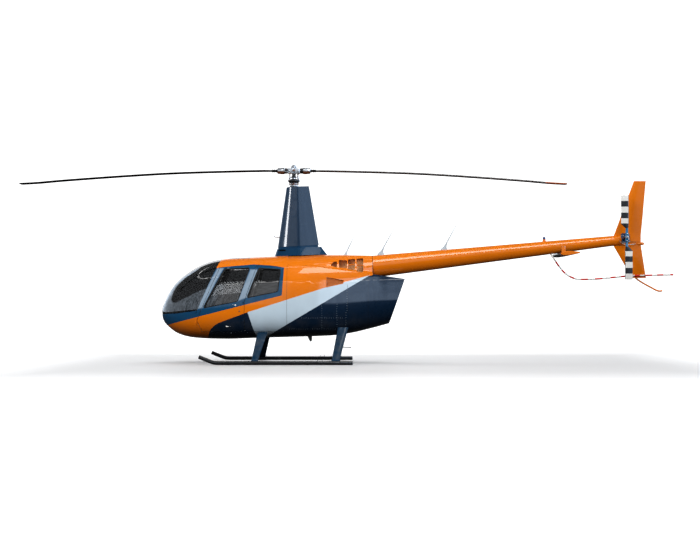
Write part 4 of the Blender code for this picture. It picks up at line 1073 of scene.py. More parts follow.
def build_engine_bay():
    """Side panels and deck of the engine bay, with an open screen a side."""
    start = CABIN_END_X + SEAM
    bay = hull("engine_bay_skin", start, BAY_END_X)
    hollow = hull("bay_hollow", start, BAY_END_X, SHELL_WALL, overrun=0.05)
    boolean(hollow, [deck_cutter("hollow_top", -DECK_THICKNESS)])
    shape = rounded(SCREEN_OUTLINE, SCREEN_CORNER, 3)
    pockets = []
    for side, word in SIDES:
        rings = []
        for depth in (0.030, -0.2):
            rings.append([(x, side * (hull_y(x, z) - depth), z) for x, z in shape])
        pockets.append(loft("screen_pocket_" + word, rings, 0))
    gear_hole = box("gearbox_hole", *GEARBOX_HOLE)
    boolean(bay, [deck_cutter("bay_top", 0.0), hollow, gear_hole] + pockets)
    # The sunk floor behind each side screen takes the darker orange as painted shade
    dress(bay, "livery", "screen_recess_shade")
    for face in bay.data.polygons:
        x, z = face.center.x, face.center.z
        sunk = SCREEN_FLOOR_DEPTH[0] < skin_depth(face.center) < SCREEN_FLOOR_DEPTH[1]
        face.material_index = 1 if sunk and 0.60 < x < 0.912 and 1.35 < z < 1.53 else 0
    place(bay, "airframe", ["engine_bay_shell"])
    build_upper_cowl()
    build_aft_cowl()


def build_aft_cowl():
    """The rear cowl under the tail cone, open under its top deck, which is painted black as the shade under
    the cone.
    """
    start = BAY_END_X + SEAM
    cowl = hull("aft_cowl_skin", start, AFT_END_X + 0.01)
    hollow = hull("aft_hollow", start, AFT_END_X + 0.01, SHELL_WALL, overrun=0.05)
    low, high = REAR_FACE_LOW, REAR_FACE_HIGH
    lean = (high[0] - low[0]) / (high[1] - low[1])
    behind = [(low[0] - lean, low[1] - 1), (low[0] + 2 * lean, low[1] + 2), (3, 3), (3, low[1] - 1)]
    moved = [(x - SHELL_WALL, z) for x, z in behind[:2]] + behind[2:]
    boolean(hollow, [prism_xz("hollow_rear", moved, -WIDE_Y, WIDE_Y),
                     deck_cutter("hollow_top", -DECK_THICKNESS)])
    boolean(cowl, [prism_xz("aft_rear", behind, -WIDE_Y, WIDE_Y), deck_cutter("aft_top", 0.0), hollow,
                   cone("aft_cone_cut", SEAM, start - 0.05, AFT_END_X + 0.3)])
    # The top deck is painted black, a painted shade under the tail cone
    dress(cowl, "navy", "black")
    for face in cowl.data.polygons:
        above = line_z(DECK_LINE, min(face.center.x, 2.0)) - 0.004
        face.material_index = 1 if face.normal.z > 0.6 and face.center.z > above - 0.02 else 0
    place(cowl, "airframe", ["aft_cowl"])


# Tail cone

CONE_START = (1.4303, 1.731, 0.2010)
CONE_END = (5.922, 2.213, 0.0880)
CONE_WALL = 0.006
CONE_RIVET_STEP = 0.026
CONE_RIVETS_FROM_JOINT = 0.022


def cone_at(x):
    """Centre height and radius of the tail cone at x."""
    share = (x - CONE_START[0]) / (CONE_END[0] - CONE_START[0])
    return (CONE_START[1] + (CONE_END[1] - CONE_START[1]) * share,
            CONE_START[2] + (CONE_END[2] - CONE_START[2]) * share)


def cone(name, grow, x_from, x_to, sides=64, steps=1):
    """A stretch of the tail cone, grown or shrunk by a distance."""
    rings = []
    for step in range(steps + 1):
        x = x_from + (x_to - x_from) * step / steps
        z, radius = cone_at(x)
        radius += grow
        rings.append([(x, radius * math.cos(turn), z + radius * math.sin(turn)) for turn in turns(sides)])
    return loft(name, rings)


def build_tail_cone():
    """Tail cone with its lap joints and the rivet rows beside them."""
    skin = cone("tail_cone_skin", 0.0, CONE_START[0], CONE_END[0], 72, 24)
    boolean(skin, [cone("cone_hollow", -CONE_WALL, CONE_START[0] - 0.1, CONE_END[0] + 0.1, 72)])
    fit(skin, "cone", "orange_paint", "tail_cone")
    bands, heads = [], []
    for x in CONE_JOINTS:
        z, radius = cone_at(x)
        profile = [(radius - 0.002, -0.010), (radius + 0.0010, -0.009)]
        profile += [(radius + 0.0010, 0.009), (radius - 0.002, 0.010)]
        bands.append(turned("band", profile, (x, 0, z), "X", 72))
        for offset in (-CONE_RIVETS_FROM_JOINT, CONE_RIVETS_FROM_JOINT):
            middle, reach = cone_at(x + offset)
            for turn in turns(int(2 * math.pi * reach / CONE_RIVET_STEP)):
                heads.append((x + offset, reach * math.cos(turn), middle + reach * math.sin(turn),
                              (0, math.cos(turn), math.sin(turn))))
    fit(join("cone_bands", bands), "orange", "orange_paint")
    fit(rivets("cone_rivets", heads), "orange", "orange_paint")


def rivets(name, heads, radius=0.0022, height=0.0009):
    """Low domed heads at (x, y, z, outward direction), as one mesh."""
    vertices, faces = [], []
    for x, y, z, out in heads:
        out = Vector(out).normalized()
        across = out.cross(Vector((1, 0, 0)) if abs(out.x) < 0.9 else Vector((0, 0, 1))).normalized()
        up = out.cross(across)
        centre = Vector((x, y, z)) - out * 0.0004
        start = len(vertices)
        for size, lift in ((radius, 0.0), (radius * 0.7, height)):
            for turn in turns(6):
                vertices.append(centre + out * lift + (across * math.cos(turn) + up * math.sin(turn)) * size)
        for k in range(6):
            nxt = (k + 1) % 6
            faces.append((start + k, start + nxt, start + 6 + nxt, start + 6 + k))
        faces.append(tuple(start + 6 + k for k in range(6)))
        faces.append(tuple(start + k for k in range(5, -1, -1)))
    return finish_mesh(name, vertices, faces, 50)


def skin_rivets():
    """Rivet rows on the engine bay's side panels, under the rear doors and on the lower panels."""
    rows = []
    for x in (-0.112, -0.078, 1.395):
        rows.append([(x, z) for z in spaced(0.600, line_z(DECK_LINE, x) - 0.03, 0.040)])
    rows.append([(x, line_z(DECK_LINE, x) - 0.022) for x in spaced(-0.060, 1.380, 0.050)])
    rows.append([(x, 0.640 + 0.060 * x) for x in spaced(-0.700, -0.120, 0.050)])
    heads = rivets("bay_rivets", rivet_places(rows), 0.0026, 0.0010)
    fit(heads, "livery", "navy_paint")
    rows = [[(x, z) for x in spaced(low, high, 0.040)]
            for z, low, high in ((0.807, 0.165, 0.930), (0.612, -0.050, 0.840))]
    rows += [[(x, z) for z in spaced(low, high, 0.040)]
             for x, low, high in ((0.520, 0.640, 1.060), (0.787, 0.650, 1.050), (0.947, 0.640, 0.900),
                                  (0.965, 0.940, 1.360))]
    heads = rivets("belly_rivets", rivet_places(rows), 0.0048, 0.0014)
    fit(heads, "rivet", "navy_paint")


def rivet_places(rows):
    """Rivet heads on both sides of the fuselage skin, from rows of side view points."""
    heads = []
    for row in rows:
        for x, z in row:
            y = hull_y(x, z)
            if y < 0.06:
                continue
            slope_z = (hull_y(x, z + 0.005) - hull_y(x, z - 0.005)) / 0.01
            slope_x = (hull_y(x + 0.005, z) - hull_y(x - 0.005, z)) / 0.01
            heads += [(x, side * y, z, (-slope_x, side, -slope_z)) for side in (-1, 1)]
    return heads


def spaced(low, high, step):
    """Even places between two values."""
    count = max(1, int((high - low) / step))
    return [low + (high - low) * k / count for k in range(count + 1)]


# Tail surfaces, guard and lamps

STABILIZER = {"x0": 4.757, "x1": 5.095, "z": 1.958, "thickness": 0.075, "half_span": 0.575,
              "rise": 0.020, "blunt": 0.008}
END_CAP_WIDTH = 0.035
BRACKET = {"x0": 4.834, "x1": 4.910, "top": 2.100, "thickness": 0.008}
FIN_OUTLINE = [(5.803, 2.304), (6.167, 3.284), (6.384, 3.284), (6.283, 2.178), (6.294, 2.087),
               (6.379, 1.531), (6.125, 1.531), (5.788, 2.116)]
TAIL_GEARBOX = {"x0": CONE_END[0] + SEAM, "x1": CONE_END[0] + 0.153, "half_width": 0.070, "z0": 2.165,
                "z1": 2.330}
tail_low, tail_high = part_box("tail_rotor_hub")
TAIL_ROTOR_X = (tail_low.x + tail_high.x) / 2 - MAST_X
TAIL_ROTOR_Y, TAIL_ROTOR_Z = -0.350, 2.247
GUARD_RADIUS = 0.015
GUARD_Y = -0.036
GUARD_PATH = [(4.700, 1.885), (4.774, 1.772), (4.824, 1.708), (4.880, 1.639), (4.957, 1.576),
              (5.040, 1.531), (5.136, 1.504), (5.263, 1.500), (5.547, 1.513), (5.967, 1.554),
              (6.263, 1.569), (6.866, 1.585)]
# Where the guard changes colour, measured along it from its rear end
GUARD_STOPS = (0.055, 0.183, 0.293, 0.384, 0.530, 0.603, 0.732, 0.860, 0.950, 1.047, 1.138, 1.285, 1.417,
               1.549, 1.679, 1.793, 1.890, 1.987, 2.071, 2.156, 2.255)
TAIL_SKID_RADIUS = 0.015
TAIL_SKID_PATH = [(6.175, 1.545), (6.210, 1.513), (6.245, 1.484), (6.332, 1.430), (6.483, 1.347),
                  (6.558, 1.307), (6.604, 1.291), (6.640, 1.289), (6.674, 1.296)]
TAIL_LIGHT = {"x0": 6.270, "z": 2.147}
BEACON_X = 4.538
# Columns: base x and z, tip x and z, chord of the foot
ANTENNAS = [(0.933, 1.942, 1.103, 2.304, 0.020), (1.575, 1.960, 1.826, 2.440, 0.120),
            (2.720, 2.045, 2.971, 2.536, 0.120)]


def airfoil(count):
    """Closed outline of a symmetrical wing section: share of chord, share of thickness."""
    outline = []
    for turn in turns(count + 1, 0.5):
        share = (1 + math.cos(turn)) / 2
        bulge = 2.969 * math.sqrt(share) - 1.26 * share - 3.516 * share ** 2 + 2.843 * share ** 3
        bulge = (bulge - 1.015 * share ** 4) / 2.0 + 0.02 * share
        outline.append((share, math.copysign(bulge, math.sin(turn))))
    return outline


def build_tail_surfaces():
    """Fin, tailplane with its end caps and brackets, and the rivets on them."""
    rings = []
    levels = [(1.531, 6.125, 6.379), (1.560, 6.107, 6.375), (2.116, 5.788, 6.290), (2.304, 5.803, 6.290),
              (2.60, 5.914, 6.321), (2.95, 6.043, 6.353), (3.255, 6.156, 6.381), (3.284, 6.167, 6.384)]
    section = airfoil(44)
    for z, x0, x1 in levels:
        thickness = 0.042 if 1.54 < z < 3.27 else 0.030
        rings.append([(x0 + s * (x1 - x0), t * thickness, z) for s, t in section])
    fin = loft("fin_skin", rings, 30)
    gear = TAIL_GEARBOX
    low = (gear["x0"] - SEAM, -0.1, gear["z0"] - SEAM)
    high = (gear["x1"] + SEAM, 0.1, gear["z1"] + SEAM)
    room, room_copy = [box(name, low, high, 0.021, 4) for name in ("fin_room", "joint_room")]
    boolean(fin, [cone("fin_cone_cut", SEAM, CONE_END[0] - 0.4, CONE_END[0] + SEAM), room])
    fit(fin, "fin", "orange_paint", "vertical_fin")
    heads = []
    for side in (-1, 1):
        for z in spaced(2.34, 3.26, 0.036):
            share = (z - 2.304) / (3.284 - 2.304)
            heads.append((6.30 + 0.070 * share, side * 0.0085, z, (0.06, side, 0)))
            heads.append((5.90 + 0.305 * share, side * 0.0208, z, (-0.05, side, 0)))
        for z in spaced(1.56, 2.07, 0.036):
            heads.append((6.345 - 0.115 * (z - 1.531), side * 0.0095, z, (0.06, side, 0)))
    fit(rivets("fin_rivets", heads), "orange", "orange_paint")
    joints = []
    for z, x0, x1 in ((2.176, 5.800, 6.286), (2.113, 5.792, 6.2895)):
        rings = [[(x0 - 0.001 + s * (x1 - x0 + 0.002), t * 0.046, z + lift) for s, t in section]
                 for lift in (0.0, 0.006)]
        joints.append(loft("fin_joint", rings, 30))
    boolean(joints[1], [box("fin_joint_end", (5.995, -0.1, 2.0), (6.4, 0.1, 2.3))])
    seam = join("fin_joints", joints)
    boolean(seam, [cone("joint_cone_cut", SEAM, CONE_END[0] - 0.4, CONE_END[0] + SEAM), room_copy])
    fit(seam, "rubber", "cabin_plastic")
    foot = box("fin_foot", (6.120, -0.034, 1.5255), (6.412, 0.034, 1.5305), 0.002)
    fit(foot, "orange", "orange_paint")
    build_tailplane()


def build_tailplane():
    """Navy tailplane with orange end caps, carried by two orange brackets under the cone."""
    plane = STABILIZER
    section = airfoil(48)
    chord = plane["x1"] - plane["x0"]
    rings = []
    half = plane["half_span"]
    spans = [half, half - 0.008, half - 0.022, half - END_CAP_WIDTH, 0.16]
    spans = [-y for y in spans] + spans[::-1]
    for y in spans:
        trim = 0.70 if abs(y) == half else 0.92 if abs(y) > half - 0.010 else 1.0
        ring = []
        for s, t in section:
            thick = t * plane["thickness"] + math.copysign(plane["blunt"] * s, t)
            ring.append((plane["x0"] + s * chord, y, plane["z"] + plane["rise"] * (s - 0.5) + thick * trim))
        rings.append(ring)
    wing = loft("tailplane_skin", rings, 30)
    middle = (BRACKET["x0"] + BRACKET["x1"]) / 2
    radius = cone_at(middle)[1]
    tabs = []
    for side in (-1, 1):
        low_y, high_y = sorted((side * (radius + SEAM * 4), side * (radius + BRACKET["thickness"])))
        tabs.append(box("tab_" + str(side), (BRACKET["x0"], low_y, plane["z"]),
                        (BRACKET["x1"], high_y, BRACKET["top"]), 0.003))
    boolean(wing, tabs, "UNION")
    boolean(wing, [cone("wing_cone_cut", SEAM, 4.4, 5.4)])
    dress(wing, "navy", "orange")
    for face in wing.data.polygons:
        x, y, z = face.center
        tab = BRACKET["x0"] - 0.001 < x < BRACKET["x1"] + 0.001 and z > plane["z"] + 0.042
        face.material_index = 1 if tab or abs(y) > half - END_CAP_WIDTH else 0
    place(wing, "airframe", ["horizontal_stabilizer"])
    heads = []
    for side in (-1, 1):
        for y in spaced(0.17, half - 0.045, 0.034):
            for share, lift in ((0.24, 0.0385), (0.86, 0.0155)):
                for up in (-1, 1):
                    heads.append((plane["x0"] + share * chord, side * y,
                                  plane["z"] + plane["rise"] * (share - 0.5) + up * lift, (0.1, 0, up)))
    fit(rivets("tailplane_rivets", heads), "navy", "navy_paint")
    places = []
    for side in (-1, 1):
        for x in (4.850, 4.894):
            places.append((x, side * (radius + BRACKET["thickness"] * (1 if side > 0 else 1.45)), 2.085))
    heads = bolts("bracket_bolts", places, [(0.006, 0.0), (0.006, 0.00245), (0.0045, 0.0035)], "Y")
    fit(heads, "hub", "hub_metal")


def build_guard():
    """Tail rotor guard in red and white bands, the tail skid, and the guard's clamps."""
    points = [(x, GUARD_Y, z) for x, z in GUARD_PATH]
    start_x = GUARD_PATH[0][0] - 0.048
    cone_z, cone_radius = cone_at(start_x)
    full = smooth_path(points, 10)
    full = [(start_x, -0.006, cone_z - cone_radius + 0.004)] + full
    guard = tube("guard_tube", full, GUARD_RADIUS, 16)
    boolean(guard, [box("guard_fin_cut", (6.0, -0.0195, 1.3), (6.5, 0.1, 1.7)),
                    cone("guard_cone_cut", SEAM, 4.0, 5.5)])
    dress(guard, "white", "red")
    lengths = [0.0]
    for a, b in zip(full, full[1:]):
        lengths.append(lengths[-1] + (Vector(b) - Vector(a)).length)
    slice_guard(guard, full, lengths)
    place(guard, "airframe", ["tail_rotor_guard"])
    skid_path = smooth_path([(x, 0, z) for x, z in TAIL_SKID_PATH], 5)
    skid = tube("tail_skid_tube", skid_path, TAIL_SKID_RADIUS, 16)
    grown = inset_outline(FIN_OUTLINE, -SEAM)
    boolean(skid, [prism_xz("skid_fin_cut", grown, -0.1, 0.1)])
    fit(skid, "orange", "orange_paint", "tail_skid")
    clamps = []
    for x, z in ((6.150, 1.563), (6.345, 1.5725)):
        clamps.append(tube("clamp", [(x - 0.012, GUARD_Y, z), (x + 0.012, GUARD_Y, z + 0.0008)],
                           GUARD_RADIUS + 0.003, 18))
    fit(join("guard_clamps", clamps), "hub", "hub_metal")


def slice_guard(guard, path, lengths):
    """Cut the guard at each colour band and give every other band the red paint."""
    work = bmesh.new()
    work.from_mesh(guard.data)
    total = lengths[-1]
    for stop in [total - reach for reach in GUARD_STOPS if reach < total]:
        at = next(i for i in range(1, len(lengths)) if lengths[i] >= stop)
        low, high = Vector(path[at - 1]), Vector(path[at])
        share = (stop - lengths[at - 1]) / (lengths[at] - lengths[at - 1])
        bmesh.ops.bisect_plane(work, geom=work.verts[:] + work.edges[:] + work.faces[:],
                               plane_co=low + (high - low) * share, plane_no=(high - low).normalized())
    for face in work.faces:
        centre = face.calc_center_median()
        nearest = min(range(len(path)), key=lambda i: (Vector(path[i]) - centre).length)
        low = max(0, min(nearest, len(path) - 2))
        along = (Vector(path[low + 1]) - Vector(path[low])).normalized()
        reach = lengths[low] + (centre - Vector(path[low])).dot(along)
        face.material_index = 1 - sum(1 for stop in GUARD_STOPS if total - reach > stop) % 2
    work.to_mesh(guard.data)
    work.free()
    shade(guard, 40)


def build_lamps_and_antennas():
    """Beacon, tail light and the three antennas on the back."""
    z, radius = cone_at(BEACON_X)
    top = z + radius
    base = turned("beacon_foot", [(0.034, 0.0), (0.034, top + 0.004), (0.029, top + 0.010),
                                  (0.028, top + 0.034), (0.026, top + 0.036)], (BEACON_X, 0, 0), "Z", 32)
    boolean(base, [cone("beacon_cut", SEAM, 4.0, 5.0), box("beacon_low", (4.4, -0.1, -0.1), (4.7, 0.1, z))])
    lens = turned("beacon_lens", [(0.025, top + 0.0363), (0.0265, top + 0.056), (0.0245, top + 0.072),
                                  (0.015, top + 0.084), (0.004, top + 0.0878)], (BEACON_X, 0, 0), "Z", 32)
    fit(base, "orange", "orange_paint", "beacon")
    fit(lens, "lens_blue", "lens_plastic")
    x, z = TAIL_LIGHT["x0"], TAIL_LIGHT["z"]
    grown = inset_outline(FIN_OUTLINE, -SEAM)
    light = turned("tail_lamp_body", [(0.022, 0.0), (0.0265, 0.006), (0.0265, 0.055), (0.021, 0.056)],
                   (x, 0, z), "X", 32)
    boolean(light, [prism_xz("light_cut", grown, -0.1, 0.1)])
    pod = turned("tail_lamp_pod", [(0.003, -0.084), (0.014, -0.078), (0.022, -0.062), (0.0275, -0.036),
                                   (0.0275, 0.004), (0.024, 0.006)], (x + 0.010, 0, z), "X", 32)
    fit(pod, "orange", "orange_paint")
    dome = turned("tail_lamp_lens", [(0.021, 0.0563), (0.0205, 0.066), (0.016, 0.077), (0.008, 0.083),
                                     (0.002, 0.085)], (x, 0, z), "X", 32)
    fit(light, "orange", "orange_paint", "tail_light")
    fit(dome, "lens_orange", "lens_plastic")
    for number, antenna in enumerate(ANTENNAS, start=1):
        build_antenna(number, *antenna)


def build_antenna(number, base_x, base_z, tip_x, tip_z, chord):
    """A swept whip with a smooth foot blended onto the skin."""
    foot = chord * 0.5 if number > 1 else 0.034
    levels = [(base_x, base_z - 0.05, foot, 0.0125), (base_x, base_z + 0.004, foot, 0.0125),
              (base_x + 0.004, base_z + 0.014, foot * 0.86, 0.0105),
              (base_x + 0.014, base_z + 0.040, foot * 0.55, 0.0085),
              (base_x + 0.032, base_z + 0.075, foot * 0.32, 0.0070),
              (base_x + 0.052, base_z + 0.120, 0.013, 0.0058), (tip_x - 0.006, tip_z - 0.010, 0.0040, 0.0036),
              (tip_x - 0.001, tip_z - 0.002, 0.0030, 0.0028), (tip_x, tip_z, 0.0012, 0.0012)]
    rings = []
    for x, z, length, width in levels:
        rings.append([(x + length * math.cos(turn), width * math.sin(turn), z) for turn in turns(24)])
    whip = loft("whip_" + str(number), rings, 50)
    if number > 1:
        boolean(whip, [cone("whip_cut", SEAM, base_x - 0.2, base_x + 0.2)])
    else:
        boolean(whip, [loft("whip_cut", [cowl_outline(row, -SEAM * 2) for row in COWL_ROWS])])
    fit(whip, "antenna", "antenna_plastic", "antenna_" + str(number))


# Mast, skirt and rotor head

FAIRING_BASE_BOTTOM = {"x0": -0.375, "x1": 0.700, "half_width": 0.250, "z": 1.840}
FAIRING_BASE_TOP = {"x0": -0.304, "x1": 0.496, "half_width": 0.175, "z0": 2.047, "z1": 2.091}
FAIRING_BOTTOM = {"x0": -0.290, "x1": 0.453, "half_width": 0.125, "z0": 2.080, "z1": 2.125}
FAIRING_TOP = {"x0": -0.134, "x1": 0.272, "half_width": 0.085, "z0": 3.167, "z1": 3.192}
AIR_INLET = {"x0": -0.272, "x1": -0.140, "z0": 2.008, "z1": 2.034}
MAST_RADIUS = 0.038
SWASH_BAND = (3.216, 3.232)
SWASH_DARK_FROM = 3.246
HUB_Z = 3.467
GRIP_NECK = (0.119, 0.166)
TOP_Z = 3.574
BLADE_CHORD = 0.250
BLADE_THICKNESS = 0.030
# Share of the chord in front of a blade's pitch axis
PITCH_AXIS_SHARE = 0.25
EDGE_STRIP_WIDTH = 0.022
TAIL_EDGE_STRIP_WIDTH = 0.007
BLADE_DROOP = [(0.270, 3.467), (0.520, 3.466), (1.259, 3.451), (2.230, 3.419), (3.201, 3.361),
               (4.170, 3.290), (4.623, 3.250), (4.955, 3.232)]
TIP_COLOUR_START = 4.555


def teardrop(level, inset, points=88):
    """One level of the mast fairing: round in front, tapering to the rear."""
    ring = []
    x0, x1 = level["x0"] + inset, level["x1"] - 2.5 * inset
    low = level.get("z0", level.get("z"))
    high = level.get("z1", level.get("z"))
    for turn in turns(points, 0.5):
        share = (1 - math.cos(turn)) / 2
        width = 2.60 * math.sqrt(share) * (1 - share) + 0.18 * share * (1 - share) + 0.03 * min(1, share * 30)
        x = x0 + share * (x1 - x0)
        y = (level["half_width"] - inset) * min(1.0, width) * (1 if math.sin(turn) > 0 else -1)
        ring.append((x, y, low + (high - low) * (x - level["x0"]) / (level["x1"] - level["x0"])))
    return ring


def between(low, high, share, pinch=0.0):
    """A fairing level part way between two; pinch draws it in along a concave curve."""
    def height(level, key):
        return level.get(key, level.get("z"))
    made = {}
    for key in ("x0", "x1", "half_width"):
        drawn = share + pinch * share * (1 - share)
        made[key] = low[key] + (high[key] - low[key]) * drawn
    for key in ("z0", "z1"):
        made[key] = height(low, key) + (height(high, key) - height(low, key)) * share
    return made


def raised(level, distance):
    """The same level moved up by a distance."""
    moved = dict(level)
    for key in ("z", "z0", "z1"):
        if key in moved:
            moved[key] += distance
    return moved


def build_mast():
    """Skirt with its two air inlets, the tall fairing and its rivets, and the pitot tube."""
    levels = [between(FAIRING_BASE_BOTTOM, FAIRING_BASE_TOP, k / 10, 0.15) for k in range(11)]
    skirt = loft("skirt_skin", [teardrop(level, 0.0) for level in levels])
    low = dict(FAIRING_BOTTOM, z0=FAIRING_BASE_TOP["z0"] - 0.03, z1=FAIRING_BASE_TOP["z1"] - 0.03)
    collar = loft("skirt_collar", [teardrop(low, 0.004), teardrop(raised(FAIRING_BOTTOM, -SEAM), 0.004)])
    boolean(skirt, [collar], "UNION")
    cuts = [turned("skirt_hole", [(0.060, 1.7), (0.060, 2.3)], ON_MAST, "Z", 32),
            hull("skirt_hull_cut", -1.0, BAY_END_X, -SEAM),
            loft("skirt_cowl_cut", [cowl_outline(row, -SEAM * 2) for row in COWL_ROWS])]
    inlet = AIR_INLET
    for side, word in SIDES:
        low_y, high_y = sorted((side * 0.02, side * 0.30))
        cuts.append(box("inlet_" + word, (inlet["x0"], low_y, inlet["z0"]),
                        (inlet["x1"], high_y, inlet["z1"]), 0.006))
    boolean(skirt, cuts)
    # The inlet slots' walls are painted black as the shade inside the air inlets
    dress(skirt, "skirt", "black")
    for face in skirt.data.polygons:
        x, z = face.center.x, face.center.z
        across = inlet["x0"] <= x <= inlet["x1"] + 0.001
        in_slot = across and inlet["z0"] - 0.001 < z < inlet["z1"] + 0.001
        wall = abs(face.normal.z) > 0.7 or abs(face.center.y) < 0.06
        face.material_index = 1 if in_slot and wall else 0
    place(skirt, "airframe", ["mast_skirt"])

    levels = [between(FAIRING_BOTTOM, FAIRING_TOP, k / 12) for k in range(13)]
    fairing = loft("fairing_skin", [teardrop(level, 0.0) for level in levels])
    hollow = loft("fairing_hollow", [teardrop(raised(FAIRING_BOTTOM, -0.02), 0.012),
                                     teardrop(raised(FAIRING_TOP, 0.02), 0.012)])
    boolean(fairing, [hollow])
    fit(fairing, "fairing", "blue_paint", "mast_fairing")
    heads = []
    for k in range(14):
        level = between(FAIRING_BOTTOM, FAIRING_TOP, 0.03 + 0.94 * k / 13)
        for side in (-1, 1):
            x = level["x0"] + 0.955 * (level["x1"] - level["x0"])
            z = level["z0"] + (level["z1"] - level["z0"]) * 0.955
            heads.append((x, side * (level["half_width"] * 0.150), z, (0.1, side, 0)))
    fit(rivets("fairing_rivets", heads, 0.0022, 0.0008), "fairing", "blue_paint")
    pitot = tube("pitot", smooth_path([(-0.246, 0, 2.262), (-0.300, 0, 2.262), (-0.334, 0, 2.264),
                                       (-0.352, 0, 2.275), (-0.360, 0, 2.300)], 6), 0.008, 16)
    solid = loft("pitot_cut", [teardrop(FAIRING_BOTTOM, -SEAM), teardrop(FAIRING_TOP, -SEAM)])
    boolean(pitot, [solid])
    fit(pitot, "hub", "hub_metal", "pitot_tube")
    build_swashplate()


def build_swashplate():
    """Fixed ring with its push rods, and the rubber boot below it."""
    parts = []
    base = turned("swash_base", [(0.047, 3.186), (0.070, 3.186), (0.070, 3.198), (0.052, 3.204),
                                 (0.050, 3.214), (0.066, 3.218), (0.066, 3.230), (0.054, 3.234),
                                 (0.054, 3.242), (0.078, 3.248), (0.096, 3.256), (0.096, 3.264),
                                 (0.090, 3.268), (0.047, 3.268)], ON_MAST, "Z", 48)
    dress(base, "hub", "primer_and_shade", "dark_metal")
    for face in base.data.polygons:
        z = face.center.z
        face.material_index = 2 if z > SWASH_DARK_FROM else 1 if SWASH_BAND[0] < z < SWASH_BAND[1] else 0
    parts.append(base)
    for turn in turns(3, 0.25):
        x, y = 0.088 * math.cos(turn), 0.052 * math.sin(turn)
        rod = tube("push_rod", [(x * 0.8, y * 0.8, 3.120), (x, y, 3.240)], 0.008, 12)
        parts.append(dress(rod, "hub"))
        cup = turned("rod_end", [(0.013, 3.222), (0.014, 3.230), (0.013, 3.244)], (x, y, 0), "Z", 16)
        parts.append(dress(cup, "primer_and_shade"))
    rings = join("swashplate_fixed", parts)
    boot = turned("boot", [(0.046, 3.150), (0.066, 3.158), (0.052, 3.168), (0.066, 3.178), (0.052, 3.186),
                           (0.046, 3.186)], ON_MAST, "Z", 40)
    dress(boot, "rubber")
    place(rings, "airframe", ["swashplate_lower"])
    place(boot, "airframe")


def build_rotor_head():
    """Mast with its drive collar and turning swashplate, then the hub and the two main blades."""
    mast = turned("mast_tube", [(MAST_RADIUS - 0.004, 1.801), (MAST_RADIUS, 1.806), (MAST_RADIUS, 3.300),
                                (0.034, 3.306), (0.034, 3.395), (0.037, 3.400), (0.037, 3.421)],
                  ON_MAST, "Z", 40)
    dress(mast, "steel")
    plate = turned("swash_turning", [(0.042, 3.2745), (0.106, 3.2745), (0.112, 3.279), (0.112, 3.292),
                                     (0.105, 3.298), (0.072, 3.300), (0.060, 3.318), (0.042, 3.320)],
                   ON_MAST, "Z", 56)
    dress(plate, "black")
    collar = turned("drive_collar", [(0.040, 3.346), (0.048, 3.346), (0.050, 3.350), (0.050, 3.362),
                                     (0.046, 3.366), (0.040, 3.366)], ON_MAST, "Z", 32)
    dress(collar, "dark_metal")
    parts = [mast, plate, collar]
    for side in (-1, 1):
        arm = tube("drive_arm", [(side * 0.046, 0, 3.356), (side * 0.088, 0.010, 3.342),
                                 (side * 0.094, 0.012, 3.300)], [0.010, 0.008, 0.007], 12)
        parts.append(dress(arm, "hub"))
    piece = join("mast_and_swashplate", parts)
    place(piece, "main_rotor", ["rotor_mast"])
    build_hub()
    for side, word in ((-1, "front"), (1, "rear")):
        build_blade(side, word)


def build_hub():
    """Hub block with its teeter and cone hinge bolts, nuts, horns and pitch links."""
    half, wide, tall = 0.110, 0.060, 0.045
    outline = rounded([(-half, -wide), (half, -wide), (half, wide), (-half, wide)], 0.018, 5)
    block = loft("hub_block", [[(x, y, HUB_Z + z) for x, y in outline] for z in (-tall, tall)], 30)
    waist = [turned("waist", [(0.034, -0.09), (0.034, 0.09)], (0, side * 0.088, HUB_Z), "Z", 32)
             for side in (-1, 1)]
    boolean(block, waist)
    round_edges(block, 0.004)
    parts = [dress(block, "hub")]
    crown = turned("crown", [(0.054, tall), (0.056, tall + 0.004), (0.056, tall + 0.016),
                             (0.050, tall + 0.020), (0.050, tall + 0.034), (0.042, tall + 0.040),
                             (0.042, tall + 0.050), (0.036, tall + 0.052), (0.036, TOP_Z - HUB_Z - 0.008),
                             (0.028, TOP_Z - HUB_Z)], (0, 0, HUB_Z), "Z", 32)
    parts.append(dress(crown, "hub"))
    nut = turned("top_nut", [(0.053, tall + 0.022), (0.053, tall + 0.030)], (0, 0, HUB_Z), "Z", 6, 25)
    parts.append(dress(nut, "primer_and_shade"))
    profile = both_ends([(0.012, 0.084), (0.018, 0.080), (0.018, 0.062), (0.011, 0.061)])
    bolt = turned("teeter_bolt", profile, (0, 0, HUB_Z + 0.008), "Y", 24)
    parts.append(dress(bolt, "primer_and_shade"))
    for side in (-1, 1):
        profile = both_ends([(0.010, 0.078), (0.015, 0.076), (0.015, 0.062), (0.010, 0.061)])
        hinge = turned("cone_bolt", profile, (side * 0.086, 0, HUB_Z - 0.004), "Y", 6, 25)
        parts.append(dress(hinge, "hub"))
        x, y = side * 0.070, side * 0.074
        link = tube("pitch_link", [(x, y, 3.286), (x, y, 3.412)], 0.0095, 14)
        parts.append(dress(link, "hub"))
        for z0, z1 in ((3.280, 3.302), (3.318, 3.330), (3.366, 3.378), (3.396, 3.424)):
            nut = turned("link_nut", [(0.010, z0), (0.014, z0 + 0.002), (0.014, z1 - 0.002), (0.010, z1)],
                         (x, y, 0), "Z", 6, 25)
            parts.append(dress(nut, "primer_and_shade"))
        horn = tube("pitch_horn", [(x, y, 3.412), (x + side * 0.020, y * 0.92, 3.430),
                                   (x + side * 0.060, y * 0.70, 3.446), (x + side * 0.085, y * 0.50, 3.455)],
                    [0.011, 0.012, 0.013, 0.013], 14)
        parts.append(dress(horn, "hub"))
    place(join("hub_assembly", parts), "main_rotor", ["rotor_hub"])


